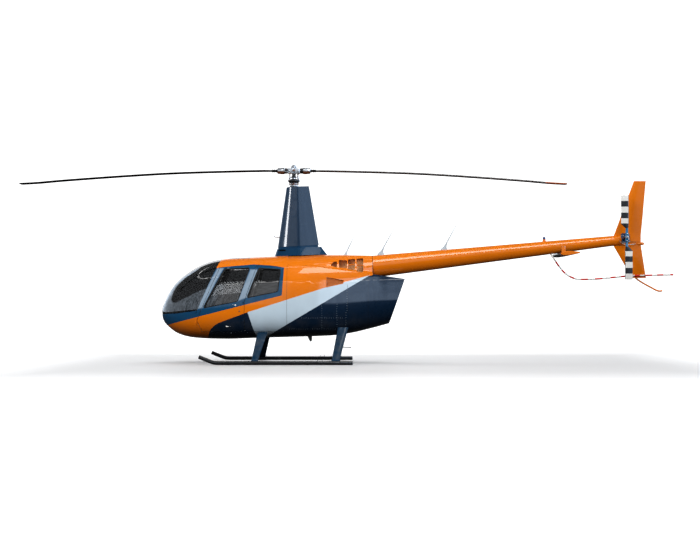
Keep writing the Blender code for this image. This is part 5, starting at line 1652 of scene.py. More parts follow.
def build_blade(side, word):
    """One drooping blade with its edge strip, its grip and bolted root plates; the rear tip is orange."""
    section = airfoil(46)
    rows = smooth_path(BLADE_DROOP, 5)
    rows = [(distance, z, 1.0, 1.15) for distance, z in rows if distance > 0.45]
    rows = [(0.302, HUB_Z, 0.40, 1.15), (0.372, HUB_Z, 0.52, 1.15), (0.420, HUB_Z - 0.001, 0.86, 1.05)] + rows
    tip = rows[-1]
    rows[-1] = (tip[0] - 0.014, tip[1] + 0.001, 1.0, 1.0)
    rows.append((tip[0] - 0.004, tip[1], 0.97, 0.75))
    rows.append((tip[0], tip[1], 0.90, 0.40))
    if side > 0:
        rows = sorted(rows + [(TIP_COLOUR_START, 3.2555, 1.0, 1.0)])
    rings = []
    for distance, z, chord_share, thick_share in rows:
        chord = BLADE_CHORD * chord_share
        lead = PITCH_AXIS_SHARE * BLADE_CHORD * min(1.0, chord_share * 1.1)
        rings.append([(side * distance, side * (s * chord - lead), z + t * BLADE_THICKNESS * thick_share)
                      for s, t in section])
    blade = loft("blade_skin_" + word, rings, 40)
    dress(blade, "blade", "tip_orange", "edge_strip")
    for face in blade.data.polygons:
        reach = abs(face.center.x)
        front = side * face.center.y < -PITCH_AXIS_SHARE * BLADE_CHORD + EDGE_STRIP_WIDTH
        face.material_index = 1 if side > 0 and reach > TIP_COLOUR_START - 0.002 else 2 if front else 0
    parts = [blade]
    grip = [(0.1105, 0.040), (0.118, 0.048), (0.150, 0.050), (0.166, 0.050), (0.172, 0.060), (0.232, 0.061),
            (0.238, 0.056), (0.286, 0.053), (0.298, 0.046), (0.304, 0.034)]
    body = turned("grip_body", [(radius, side * reach) for reach, radius in grip], (0, 0, HUB_Z), "X", 36)
    dress(body, "hub", "primer_and_shade", "dark_metal")
    # The lower half of each grip takes the brown as painted shade, warm with the orange body's reflection
    for face in body.data.polygons:
        reach, low = abs(face.center.x), face.center.z < HUB_Z - 0.012
        face.material_index = 2 if GRIP_NECK[0] < reach < GRIP_NECK[1] else 1 if low else 0
    parts.append(body)
    for level in (-1, 1):
        low, high = sorted((HUB_Z + level * 0.0145, HUB_Z + level * 0.0185))
        ends = sorted((side * 0.285, side * 0.400))
        plate = box("root_plate", (ends[0], -0.050, low), (ends[1], 0.050, high), 0.003)
        parts.append(dress(plate, "blade"))
        places = [(side * reach, y, HUB_Z + level * 0.0185) for reach in (0.318, 0.352, 0.384)
                  for y in (-0.028, 0.028)]
        profile = [(0.0075, 0.0), (0.0075, level * 0.005), (0.0055, level * 0.007)]
        parts.append(dress(bolts("root_bolts", places, profile, "Z"), "dark_metal"))
    place(join("rotor_blade_assembly_" + word, parts), "main_rotor", ["rotor_blade_" + word])


# Tail rotor

TAIL_BLADE_CHORD = 0.136
TAIL_BLADE_THICKNESS = 0.017
TAIL_HUB_HALF = 0.085
TAIL_HOUSING_END = -0.230
# Outer ends of the colour bands of a tail blade, from its tip, and the end of its blue root
TAIL_BANDS = [0.757, 0.650, 0.548, 0.440, 0.340, 0.248]
TAIL_ROOT_END = 0.165


def build_tail_gearbox():
    """Gearbox behind the cone: its housings, cooling ribs, flange, bolts, pitch linkage and a pipe."""
    gear = TAIL_GEARBOX
    x, z = TAIL_ROTOR_X, TAIL_ROTOR_Z
    case = box("gear_case", (gear["x0"], -gear["half_width"], gear["z0"]),
               (gear["x1"], gear["half_width"], gear["z1"]), 0.022, 4)
    parts = [dress(case, "gearbox_blue")]
    for side in (-1, 1):
        profile = [(0.060, 0.066), (0.060, 0.072), (0.052, 0.078), (0.046, 0.080), (0.044, 0.112)]
        if side < 0:
            profile += [(0.036, 0.120), (0.034, 0.216), (0.038, 0.218), (0.038, 0.230)]
        else:
            profile = profile[:4] + [(0.020, 0.084)]
        housing = turned("housing", [(radius, side * reach) for radius, reach in profile], (x, 0, z), "Y", 36)
        parts.append(dress(housing, "gearbox_blue"))
        places = [(x + 0.053 * math.cos(turn), side * 0.072, z + 0.053 * math.sin(turn))
                  for turn in turns(6)]
        profile = [(0.0055, 0.0), (0.0055, side * 0.005), (0.004, side * 0.0065)]
        parts.append(dress(bolts("case_bolts", places, profile, "Y"), "hub"))
    for k in range(5):
        rib_x = gear["x0"] + 0.028 + 0.024 * k
        rib = box("rib", (rib_x, -0.048, gear["z1"] - 0.004), (rib_x + 0.006, 0.048, gear["z1"] + 0.008),
                  0.002)
        parts.append(dress(rib, "gearbox_blue"))
    flange = turned("cone_flange", [(0.082, 0.0), (0.082, 0.010), (0.070, 0.016), (0.058, 0.020)],
                    (gear["x0"], 0, CONE_END[1] + 0.004), "X", 40)
    parts.append(dress(flange, "gearbox_blue"))
    rod = tube("pitch_rod", smooth_path([(x - 0.090, -0.060, z - 0.050), (x - 0.060, -0.180, z - 0.082),
                                         (x + 0.020, -0.236, z - 0.080), (x + 0.070, -0.236, z - 0.074)], 6),
               0.006, 12)
    parts.append(dress(rod, "hub"))
    crank = tube("bell_crank", [(x + 0.070, -0.236, z - 0.074), (x + 0.058, -0.220, z - 0.010),
                                (x + 0.036, -0.205, z + 0.002)], [0.008, 0.009, 0.008], 12)
    parts.append(dress(crank, "hub"))
    pipe = smooth_path([(x - 0.055, -0.068, z - 0.070), (x - 0.020, -0.086, z - 0.104),
                        (x + 0.050, -0.090, z - 0.120), (x + 0.140, -0.074, z - 0.116),
                        (x + 0.215, -0.036, z - 0.102)], 6)
    parts.append(dress(tube("pitch_pipe", pipe, 0.0065, 12), "white"))
    piece = join("tail_gearbox_assembly", parts)
    place(piece, "airframe", ["tail_gearbox"])


def build_tail_rotor():
    """Tail rotor hub with its shaft, pitch slider, horns and links, and two banded blades."""
    x, y, z = TAIL_ROTOR_X, TAIL_ROTOR_Y, TAIL_ROTOR_Z
    shaft = turned("tail_shaft", [(0.018, TAIL_HOUSING_END - SEAM), (0.020, -0.236), (0.020, -0.380),
                                  (0.014, -0.395)], (x, 0, z), "Y", 28)
    parts = [dress(shaft, "steel")]
    slider = turned("slider", [(0.022, -0.246), (0.036, -0.248), (0.036, -0.262), (0.028, -0.266),
                               (0.028, -0.284), (0.022, -0.286)], (x, 0, z), "Y", 28)
    parts.append(dress(slider, "dark_metal"))
    block = box("tail_hub_block", (x - 0.026, y - 0.025, z - TAIL_HUB_HALF),
                (x + 0.026, y + 0.025, z + TAIL_HUB_HALF), 0.009, 3)
    parts.append(dress(block, "root_blue"))
    cap = turned("tail_cap", [(0.026, -0.375), (0.026, -0.384), (0.018, -0.392)], (x, 0, z), "Y", 24)
    parts.append(dress(cap, "hub"))
    for side in (-1, 1):
        profile = both_ends([(0.009, 0.040), (0.012, 0.038), (0.012, 0.028), (0.006, 0.027)])
        pin = turned("root_pin", profile, (x, y, z + side * 0.066), "Y", 6, 25)
        parts.append(dress(pin, "hub"))
        horn = tube("tail_horn", [(x - side * 0.026, y, z + side * 0.070),
                                  (x - side * 0.052, y + 0.020, z + side * 0.060),
                                  (x - side * 0.052, y + 0.078, z + side * 0.040)],
                    [0.008, 0.007, 0.006], 12)
        parts.append(dress(horn, "gearbox_blue"))
        link = tube("tail_link", [(x - side * 0.052, y + 0.078, z + side * 0.040),
                                  (x - side * 0.032, y + 0.082, z + side * 0.006)], 0.006, 12)
        parts.append(dress(link, "hub"))
    place(join("tail_rotor_assembly", parts), "tail_rotor", ["tail_rotor_hub"])
    stations = [(TAIL_HUB_HALF + SEAM, 0.33), (0.150, 0.33), (0.166, 0.36), (0.180, 0.52), (0.236, 0.97)]
    stations += [(reach, 1.0) for reach in TAIL_BANDS[:0:-1]] + [(0.750, 1.0), (0.7545, 0.985), (0.757, 0.96)]
    section = airfoil(40)
    for side, word in ((1, "upper"), (-1, "lower")):
        rings = []
        for reach, share in stations:
            chord = TAIL_BLADE_CHORD * share
            lead = PITCH_AXIS_SHARE * TAIL_BLADE_CHORD * min(1.0, 0.55 + 0.45 * share)
            thick = TAIL_BLADE_THICKNESS * (0.4 if reach > 0.756 else 0.8 if reach > 0.752 else 1.0)
            rings.append([(x - side * (s * chord - lead), y + t * thick, z + side * reach)
                          for s, t in section])
        blade = loft("tail_blade_skin_" + word, rings, 40)
        dress(blade, "tail_white", "tail_black", "edge_strip", "root_blue")
        for face in blade.data.polygons:
            reach = side * (face.center.z - z)
            number = sum(1 for stop in TAIL_BANDS if reach < stop + 0.0005)
            front = side * (x - face.center.x) < -PITCH_AXIS_SHARE * TAIL_BLADE_CHORD + TAIL_EDGE_STRIP_WIDTH
            band = 1 if reach < TAIL_BANDS[-1] or number % 2 == 0 else 0
            face.material_index = 3 if reach < TAIL_ROOT_END else 2 if front else band
        place(blade, "tail_rotor", ["tail_blade_" + word])


# Landing gear

SKID_Y = 1.140
SKID_RADIUS = 0.033
BAND_RADIUS = 0.0352
# Columns: name, x at the skid, x and z at the belly, chord at the skid and at the belly
STRUTS = [("front", -0.643, -0.520, 0.600, 0.105, 0.185), ("rear", 0.760, 0.895, 0.640, 0.135, 0.185)]
STRUT_TOP_Y = 0.520
STRUT_THICKNESS = 0.058
STEP_SHARE = 0.44


def build_landing_gear():
    """Skid tubes, each with its fittings and the two faired struts above it."""
    for side, word in SIDES:
        flat = [(x, SKID_RADIUS) for x in (1.066, 1.060, 0.4, -0.4, -1.150)]
        curve = smooth_path([(-1.250, SKID_RADIUS), (-1.345, 0.042), (-1.450, 0.080), (-1.590, 0.1375)], 8)
        points = [(x, side * SKID_Y, z) for x, z in flat + curve]
        points += [(-1.596, side * SKID_Y, 0.140)]
        radii = [0.028] + [SKID_RADIUS] * (len(points) - 2) + [0.028]
        skid = tube("skid_tube_" + word, points, radii, 32)
        fit(skid, "skid", "black_paint", "skid_" + word)
        build_skid_fittings(side, word)
        for strut in STRUTS:
            build_strut(strut, side, word)


def build_skid_fittings(side, word):
    """Wear shoes, wheel lugs and clamp bands on one skid."""
    parts = []
    for x in (-1.05, -0.30, 0.70):
        ring = [(x - 0.17 + 0.34 * k / 4, side * SKID_Y, SKID_RADIUS) for k in range(5)]
        shoe = tube("shoe", ring, 0.0345, 32)
        boolean(shoe, [box("shoe_top", (-2, -1.3, 0.016), (2, 1.3, 0.2))])
        shoe.data.transform(Matrix.Translation((0, 0, 0.0015)))
        parts.append(dress(shoe, "dark_metal"))
    for x in (0.455, 0.535):
        lug = box("lug", (x - 0.005, side * SKID_Y - 0.012, 0.060), (x + 0.005, side * SKID_Y + 0.012, 0.088),
                  0.003)
        parts.append(dress(lug, "skid"))
        pin = turned("lug_pin", [(0.005, -0.016), (0.005, 0.016)], (x, side * SKID_Y, 0.077), "Y", 12)
        parts.append(dress(pin, "hub"))
    for x in (-0.735, -0.553, 0.672, 0.851):
        band = turned("band", [(0.0332, -0.009), (BAND_RADIUS, -0.008), (BAND_RADIUS, 0.008),
                               (0.0332, 0.009)], (x, 0, 0.0362), "X", 32)
        band.data.transform(Matrix.Translation((0, side * SKID_Y, 0))
                            @ Matrix.Scale(SKID_RADIUS / BAND_RADIUS, 4, (0, 1, 0)))
        parts.append(dress(band, "skid"))
    place(join("skid_fittings_" + word, parts), "airframe")


def build_strut(strut, side, word):
    """A faired strut from the belly to the skid, with its lower cap, and the left rear one's step."""
    name, low_x, high_x, high_z, low_chord, high_chord = strut
    section = airfoil(38)

    def part_way(share):
        return (low_x + (high_x - low_x) * share, SKID_Y + (STRUT_TOP_Y - SKID_Y) * share,
                SKID_RADIUS + (high_z - SKID_RADIUS) * share, low_chord + (high_chord - low_chord) * share)

    rings = []
    for k in range(13):
        x, y, z, chord = part_way(k / 12)
        rings.append([(x + (t - 0.5) * chord, side * (y + s * STRUT_THICKNESS * 0.98), z)
                      for t, s in section])
    leg = loft("strut_" + name + "_skin_" + word, rings, 40)
    tube_cut = tube("skid_cut", [(x, side * SKID_Y, SKID_RADIUS) for x in (1.5, -1.5)], 0.0335, 32)
    boolean(leg, [tube_cut, hull("belly_cut", -1.2, BAY_END_X, -SEAM)])
    fit(leg, "strut", "blue_paint", "strut_" + name + "_" + word)
    cap = []
    for grow, z, share in ((0.0, 0.062, 0.05), (0.006, 0.066, 0.058), (0.006, 0.092, 0.105),
                           (0.0, 0.096, 0.112)):
        x, y, _, chord = part_way(share)
        thick = STRUT_THICKNESS + 3 * grow
        cap.append([(x + (t - 0.5) * (chord + 2 * grow), side * (y + s * thick), z) for t, s in section])
    parts = [dress(loft("cap", cap, 30), "strut")]
    if name == "rear" and side < 0:
        x, y, z, chord = part_way(STEP_SHARE)
        peg = tube("step", [(x + 0.055, side * y, z), (x + 0.225, side * y, z - 0.002)], 0.0085, 14)
        parts.append(dress(peg, "skid"))
    place(join("strut_" + name + "_cap_" + word, parts), "airframe")


# Cabin furniture

FLOOR_Z = 0.640
SEAT_BOX_TOP = 0.830
CUSHION_HEIGHT = 0.100
FRONT_SEAT = {"x0": -1.240, "x1": -0.800, "y0": 0.060, "y1": 0.520}
FRONT_BACK_TOP = 1.420
BACK_THICKNESS = 0.110
BELT_THICKNESS = 0.003
REAR_SEAT = {"x0": -0.660, "x1": -0.165, "half_width": 0.560}
REAR_BACK_TOP = 1.480
CONSOLE = {"x0": -1.980, "x1": -1.760, "half_width": 0.190, "top": 1.130}


def cushion(name, low, high, face, seams):
    """A crowned leather cushion with piped edge and stitched channels; face is its soft side."""
    low, high = Vector(low), Vector(high)
    u_axis, v_axis, w_axis = {"top": (0, 1, 2), "front": (1, 2, 0)}[face]
    count = 30
    faces = []

    def point(u, v, depth):
        place_at = Vector((0, 0, 0))
        place_at[u_axis] = low[u_axis] + (high[u_axis] - low[u_axis]) * u
        place_at[v_axis] = low[v_axis] + (high[v_axis] - low[v_axis]) * v
        thick = high[w_axis] - low[w_axis]
        if face == "top":
            place_at[w_axis] = low[w_axis] + thick * depth
        else:
            place_at[w_axis] = high[w_axis] - thick * depth
        return place_at

    def crown(u, v):
        edge = min(u, 1 - u, v, 1 - v)
        swell = 1 - 0.30 * (1 - min(1.0, edge / 0.16)) ** 2.2
        groove = 0.0
        for along, at in seams:
            gap = abs((u if along == "u" else v) - at)
            groove = max(groove, math.exp(-(gap / 0.018) ** 2))
        return (0.97 - 0.05 * (2 * u - 1) ** 2 - 0.04 * (2 * v - 1) ** 2) * swell - 0.085 * groove

    spots = [(i / count, j / count) for i in range(count + 1) for j in range(count + 1)]
    vertices = [point(u, v, crown(u, v)) for u, v in spots] + [point(u, v, 0.0) for u, v in spots]
    base = len(spots)
    step = count + 1
    for i in range(count):
        for j in range(count):
            a, b, c, d = i * step + j, (i + 1) * step + j, (i + 1) * step + j + 1, i * step + j + 1
            faces.append((a, b, c, d))
            faces.append((base + d, base + c, base + b, base + a))
    border = [i * step for i in range(count + 1)]
    border += [count * step + j for j in range(1, count + 1)]
    border += [i * step + count for i in range(count - 1, -1, -1)]
    border += [j for j in range(count - 1, 0, -1)]
    for a, b in zip(border, border[1:] + border[:1]):
        faces.append((a, b, base + b, base + a))
    body = finish_mesh(name, vertices, faces, 60)
    dress(body, "leather")
    path = [vertices[k] for k in border + border[:2]]
    cord = tube(name + "_cord", path, 0.0045, 8, False)
    piece = join(name, [body, dress(cord, "leather")], 60)
    return piece


def build_seats():
    """Two front seats and the rear bench: boxes and crowned cushions, then the belts."""
    box_bottom = FLOOR_Z + SEAM
    base = SEAT_BOX_TOP + SEAM
    top = base + CUSHION_HEIGHT
    seat = FRONT_SEAT
    front = box("front_seat_base", (seat["x0"], -seat["y1"], box_bottom),
                (seat["x1"], seat["y1"], SEAT_BOX_TOP), 0.012)
    fit(front, "plastic", "cabin_plastic", "front_seat_box")
    seams = [("v", 0.27), ("v", 0.73)]
    for side, word in SIDES:
        y0, y1 = sorted((side * seat["y0"], side * seat["y1"]))
        piece = cushion("front_seat_pad_" + word, (seat["x0"], y0, base), (seat["x1"], y1, top), "top",
                        seams + [("u", 0.35)])
        place(piece, "airframe", ["front_cushion_" + word])
        piece = cushion("front_seat_back_" + word, (seat["x1"] - BACK_THICKNESS, y0, top + SEAM),
                        (seat["x1"], y1, FRONT_BACK_TOP), "front",
                        [("u", 0.27), ("u", 0.73), ("v", 0.55)])
        place(piece, "airframe", ["front_back_" + word])
    seat = REAR_SEAT
    half = seat["half_width"]
    bench = box("rear_seat_base", (seat["x0"], -half, box_bottom), (seat["x1"], half, SEAT_BOX_TOP), 0.012)
    fit(bench, "plastic", "cabin_plastic", "rear_seat_box")
    seams = [("v", 0.333), ("v", 0.667)]
    piece = cushion("rear_seat_pad", (seat["x0"], -half, base), (seat["x1"], half, top), "top", seams)
    place(piece, "airframe", ["rear_cushion"])
    piece = cushion("rear_seat_back", (seat["x1"] - BACK_THICKNESS, -half, top + SEAM),
                    (seat["x1"], half, REAR_BACK_TOP), "front", [("u", 0.333), ("u", 0.667)])
    place(piece, "airframe", ["rear_back"])
    build_belts()


def strap(name, path, width, lying=False):
    """A flat webbing strap along a path, its width across Y, or along X where it lies on a cushion."""
    points = [Vector(p) for p in path]
    rings = []
    for i, point in enumerate(points):
        along = heading(points, i)
        if lying:
            out = Vector((0, 0, 1))
            across = out.cross(along).normalized()
        else:
            across = Vector((0, 1, 0)) - along * along.y
            across.normalize()
            out = along.cross(across).normalized()
        rings.append([point + across * width / 2 * a + out * BELT_THICKNESS / 2 * b
                      for a, b in ((-1, -1), (1, -1), (1, 1), (-1, 1))])
    return loft(name, rings, 30)


def build_belts():
    """Lap belts with buckles and shoulder straps on the four outer places."""
    parts = []
    hip = SEAT_BOX_TOP + CUSHION_HEIGHT + 0.006
    for side in (-1, 1):
        for x, y, top in ((-0.910, 0.290, FRONT_BACK_TOP), (-0.275, 0.330, REAR_BACK_TOP)):
            lap = smooth_path([(x - 0.02, side * (y + 0.20), hip),
                               (x - 0.10, side * (y + 0.11), hip + 0.006),
                               (x - 0.13, side * y, hip + 0.008),
                               (x - 0.10, side * (y - 0.11), hip + 0.006),
                               (x - 0.02, side * (y - 0.19), hip)], 5)
            parts.append(dress(strap("lap_belt", lap, 0.046, lying=True), "belt"))
            shoulder = smooth_path([(x + 0.02, side * (y + 0.06), top + 0.006),
                                    (x - 0.008, side * (y + 0.06), top - 0.01),
                                    (x - 0.012, side * (y + 0.07), top - 0.20),
                                    (x - 0.012, side * (y + 0.12), 1.02),
                                    (x - 0.03, side * (y + 0.17), hip + 0.02)], 5)
            parts.append(dress(strap("shoulder", shoulder, 0.044), "belt"))
            buckle = box("buckle", (x - 0.158, side * y - 0.028, hip + 0.006),
                         (x - 0.104, side * y + 0.028, hip + 0.026), 0.005)
            parts.append(dress(buckle, "hub"))
    place(join("seat_belts", parts), "airframe")


def build_cockpit():
    """Floor and console with its instruments, then the controls."""
    floor = hull("floor_panel", NOSE_X, CABIN_END_X - SHELL_WALL - SEAM, SHELL_WALL + SEAM)
    boolean(floor, [box("slice", (-3, -1, FLOOR_Z - 0.030), (1, 1, FLOOR_Z))], "INTERSECT")
    fit(floor, "carpet", "carpet", "cabin_floor")
    c = CONSOLE
    outline = [(c["x0"], FLOOR_Z + SEAM), (c["x1"] + 0.100, FLOOR_Z + SEAM), (c["x1"], c["top"] - 0.220),
               (c["x1"], c["top"]), (c["x0"] + 0.060, c["top"])]
    body = prism_xz("console_body", outline, -c["half_width"], c["half_width"])
    round_edges(body, 0.018, 4)
    parts = [dress(body, "plastic")]
    outline = [(c["x0"] + 0.050, c["top"] - 0.004), (c["x1"] - 0.006, c["top"] - 0.004),
               (c["x1"] - 0.004, c["top"] - 0.001), (c["x0"] + 0.060, c["top"] - 0.0005)]
    hood = prism_xz("console_hood", outline, -c["half_width"] + 0.02, c["half_width"] - 0.02)
    parts.append(dress(hood, "plastic"))
    for row, z in enumerate((1.065, 0.975)):
        for k in range(3 - row):
            y = (-0.115 + 0.115 * k) if row == 0 else (-0.058 + 0.116 * k)
            bezel = turned("bezel", [(0.047, -0.004), (0.047, 0.004), (0.041, 0.0045), (0.039, 0.001)],
                           (c["x1"], y, z), "X", 32)
            parts.append(dress(bezel, "black"))
            face = turned("face", [(0.039, 0.0), (0.039, 0.0025)], (c["x1"], y, z), "X", 32)
            parts.append(dress(face, "dial"))
            needle = box("needle", (c["x1"] + 0.0025, y - 0.0012, z - 0.006),
                         (c["x1"] + 0.0034, y + 0.0012, z + 0.030))
            parts.append(dress(needle, "white"))
    place(join("instrument_panel", parts), "airframe", ["instrument_console"])
    build_controls()


def build_controls():
    """Cyclic column with its cross bar and grips, pedals and the collective lever."""
    parts = []
    column = smooth_path([(-1.480, 0, FLOOR_Z + SEAM), (-1.480, 0, 0.700), (-1.500, 0, 0.800),
                          (-1.492, 0, 0.950), (-1.480, 0, 1.066)], 6)
    parts.append(dress(tube("column", column, 0.015, 18), "plastic"))
    boot = turned("boot", [(0.055, FLOOR_Z + 0.001), (0.050, FLOOR_Z + 0.012), (0.034, FLOOR_Z + 0.016),
                           (0.040, FLOOR_Z + 0.026), (0.024, FLOOR_Z + 0.034), (0.018, FLOOR_Z + 0.050)],
                  (-1.480, 0, 0), "Z", 28)
    parts.append(dress(boot, "rubber"))
    place(join("cyclic_column", parts), "airframe", ["cyclic_stick"])
    parts = []
    bar = smooth_path([(-1.480, -0.250, 1.060), (-1.480, -0.120, 1.078), (-1.480, 0, 1.0802),
                       (-1.480, 0.120, 1.078), (-1.480, 0.250, 1.060)], 6)
    parts.append(dress(tube("bar", bar, 0.011, 16), "plastic"))
    for side in (-1, 1):
        grip = tube("grip", [(-1.480, side * 0.250, 1.062), (-1.470, side * 0.252, 1.020),
                             (-1.462, side * 0.252, 0.985), (-1.455, side * 0.250, 0.960)],
                    [0.015, 0.018, 0.017, 0.014], 18)
        parts.append(dress(grip, "rubber"))
    for side in (-1, 1):
        for gap in (-0.075, 0.075):
            y = side * 0.255 + gap
            arm = tube("pedal_arm", [(-1.840, y, FLOOR_Z), (-1.830, y, FLOOR_Z + 0.085)], 0.008, 12)
            parts.append(dress(arm, "hub"))
            pad = box("pedal", (-1.838, y - 0.032, FLOOR_Z + 0.070), (-1.822, y + 0.032, FLOOR_Z + 0.125),
                      0.004)
            parts.append(dress(pad, "rubber"))
    lever = smooth_path([(-0.955, -0.028, 0.700), (-1.060, -0.028, 0.770), (-1.200, -0.028, 0.850),
                         (-1.330, -0.028, 0.915)], 4)
    parts.append(dress(tube("collective", lever, [0.010] * 9 + [0.016] * 4, 16), "plastic"))
    place(join("pilot_controls", parts), "airframe")


def build_small_parts():
    """Belly blade antenna and the fasteners along the foot of the upper cowl."""
    blade = [(0.232, 0.52), (0.331, 0.52), (0.331, 0.400), (0.318, 0.378), (0.296, 0.375), (0.270, 0.420)]
    fin = prism_xz("belly_blade", blade, -0.006, 0.006)
    round_edges(fin, 0.003, 3)
    boolean(fin, [hull("belly_cut", CABIN_END_X, BAY_END_X, -SEAM)])
    fit(fin, "antenna_grey", "antenna_plastic", "belly_antenna")
    heads = []
    for x in (-0.068, 0.240, 0.565, 0.890, 1.180, 1.395):
        z = line_z(DECK_LINE, x) + 0.010
        heads += [(x, side * cowl_flange_y(x, z), z, (0, side * 0.5, 0.8)) for side in (-1, 1)]
    fit(rivets("cowl_fasteners", heads, 0.008, 0.003), "dark_metal", "hub_metal")


def cowl_flange_y(x, z):
    """Half-width of the cowl's flared skirt just above the deck."""
    row = row_at(COWL_ROWS, x)
    base = line_z(DECK_LINE, x) + SEAM
    edge = hull_y(x, base) - 0.002
    return cowl_y(x, z) + max(0.0, edge - row[2]) * math.exp(-(z - base) / FLARE_LENGTH)


# Studio

CAMERA_LENS_MM = 72.4
CAMERA_FROM_MAST = 1.018
CAMERA_DISTANCE = 25.5
CAMERA_HEIGHT = 1.05
CAMERA_TILT = 1.19
# Columns: name, place, aim, size, power in watts, shines (seen in reflections only) or lights
LAMPS = [
    ("sky_panel", (-0.5, 2.6, 8.0), (-0.5, -0.6, 0.0), (7.0, 3.0), 135.0, False),
    ("left_panel", (-5.5, -13.0, 7.6), (-0.5, 0, 1.2), (6.0, 6.0), 1050.0, False),
    ("tail_panel", (7.0, -12.0, 7.5), (3.5, 0, 2.0), (5.0, 5.0), 400.0, False),
    ("fairing_softbox", (-4.5, -7.0, 4.2), (-0.2, 0, 2.6), (3.6, 4.4), 1500.0, True),
    ("cone_softbox", (3.6, -4.4, 8.0), (3.6, 0, 2.0), (7.4, 2.6), 420.0, True),
]


def build_studio():
    """Pale floor and soft sky, then the lamps."""
    floor = finish_mesh("studio_floor", [(-60, -40, 0), (60, -40, 0), (60, 80, 0), (-60, 80, 0)],
                        [(0, 1, 2, 3)], 0)
    graph = Graph("floor_white")
    pale = graph.mix(graph.drift(0.35, 4.0, 0.3, 0.7, 0.0, 0.12), (0.86, 0.86, 0.86, 1),
                     (0.80, 0.80, 0.81, 1))
    graph.set(Base_Color=pale, Roughness=0.55)
    rays = graph.node("ShaderNodeLightPath")
    # The floor glows a little, and more outside the aircraft's own shadow, to end as white
    x, y, z = graph.axes()
    away = graph.math("MAXIMUM", graph.fade(y, -3.0, -9.0), graph.fade(y, 2.5, 8.0))
    aside = graph.math("MAXIMUM", graph.fade(x, -3.2, -6.0), graph.fade(x, 6.0, 9.0))
    graph.set(Emission_Color=(1, 1, 1, 1),
              Emission_Strength=graph.remap(graph.math("MAXIMUM", away, aside), 0.0, 1.0, 0.04, 0.50))
    # Only the camera meets the pale floor; reflections and bounced light meet a dim one
    dim = graph.node("ShaderNodeBsdfDiffuse")
    graph.feed(dim.inputs["Color"], graph.mix(rays.outputs["Is Glossy Ray"], (0.10, 0.10, 0.10, 1),
                                              (0.05, 0.05, 0.05, 1)))
    choice = graph.node("ShaderNodeMixShader")
    graph.feed(choice.inputs[0], rays.outputs["Is Camera Ray"])
    graph.feed(choice.inputs[1], dim.outputs[0])
    graph.feed(choice.inputs[2], graph.shader.outputs[0])
    graph.feed(graph.tree.nodes["Material Output"].inputs["Surface"], choice.outputs[0])
    floor.data.materials.append(graph.material)
    bpy.context.scene.view_settings.view_transform = "Standard"
    bpy.context.scene.view_settings.look = "Medium High Contrast"
    build_sky()
    build_lamps(floor)


def build_lamps(floor):
    """Area lamps: the two side panels leave the floor out, and one softbox only shines in the fairing."""
    unlit, only_fairing = [bpy.data.collections.new(name) for name in ("kept_out_of_lamps", "fairing_only")]
    unlit.objects.link(floor)
    only_fairing.objects.link(bpy.data.objects["fairing_skin"])
    receivers = {"left_panel": unlit, "tail_panel": unlit, "fairing_softbox": only_fairing}
    for name, spot, aim, size, power, shines in LAMPS:
        lamp = bpy.data.lights.new(name, "AREA")
        lamp.shape = "RECTANGLE"
        lamp.size, lamp.size_y = size
        lamp.energy = power
        made = bpy.data.objects.new(name, lamp)
        made.location = spot
        made.rotation_euler = (Vector(aim) - Vector(spot)).to_track_quat("-Z", "Y").to_euler()
        made.visible_glossy = shines
        made.visible_diffuse = not shines
        bpy.context.scene.collection.objects.link(made)
        if name in receivers:
            made.light_linking.receiver_collection = receivers[name]
    for link in unlit.collection_objects:
        link.light_linking.link_state = "EXCLUDE"


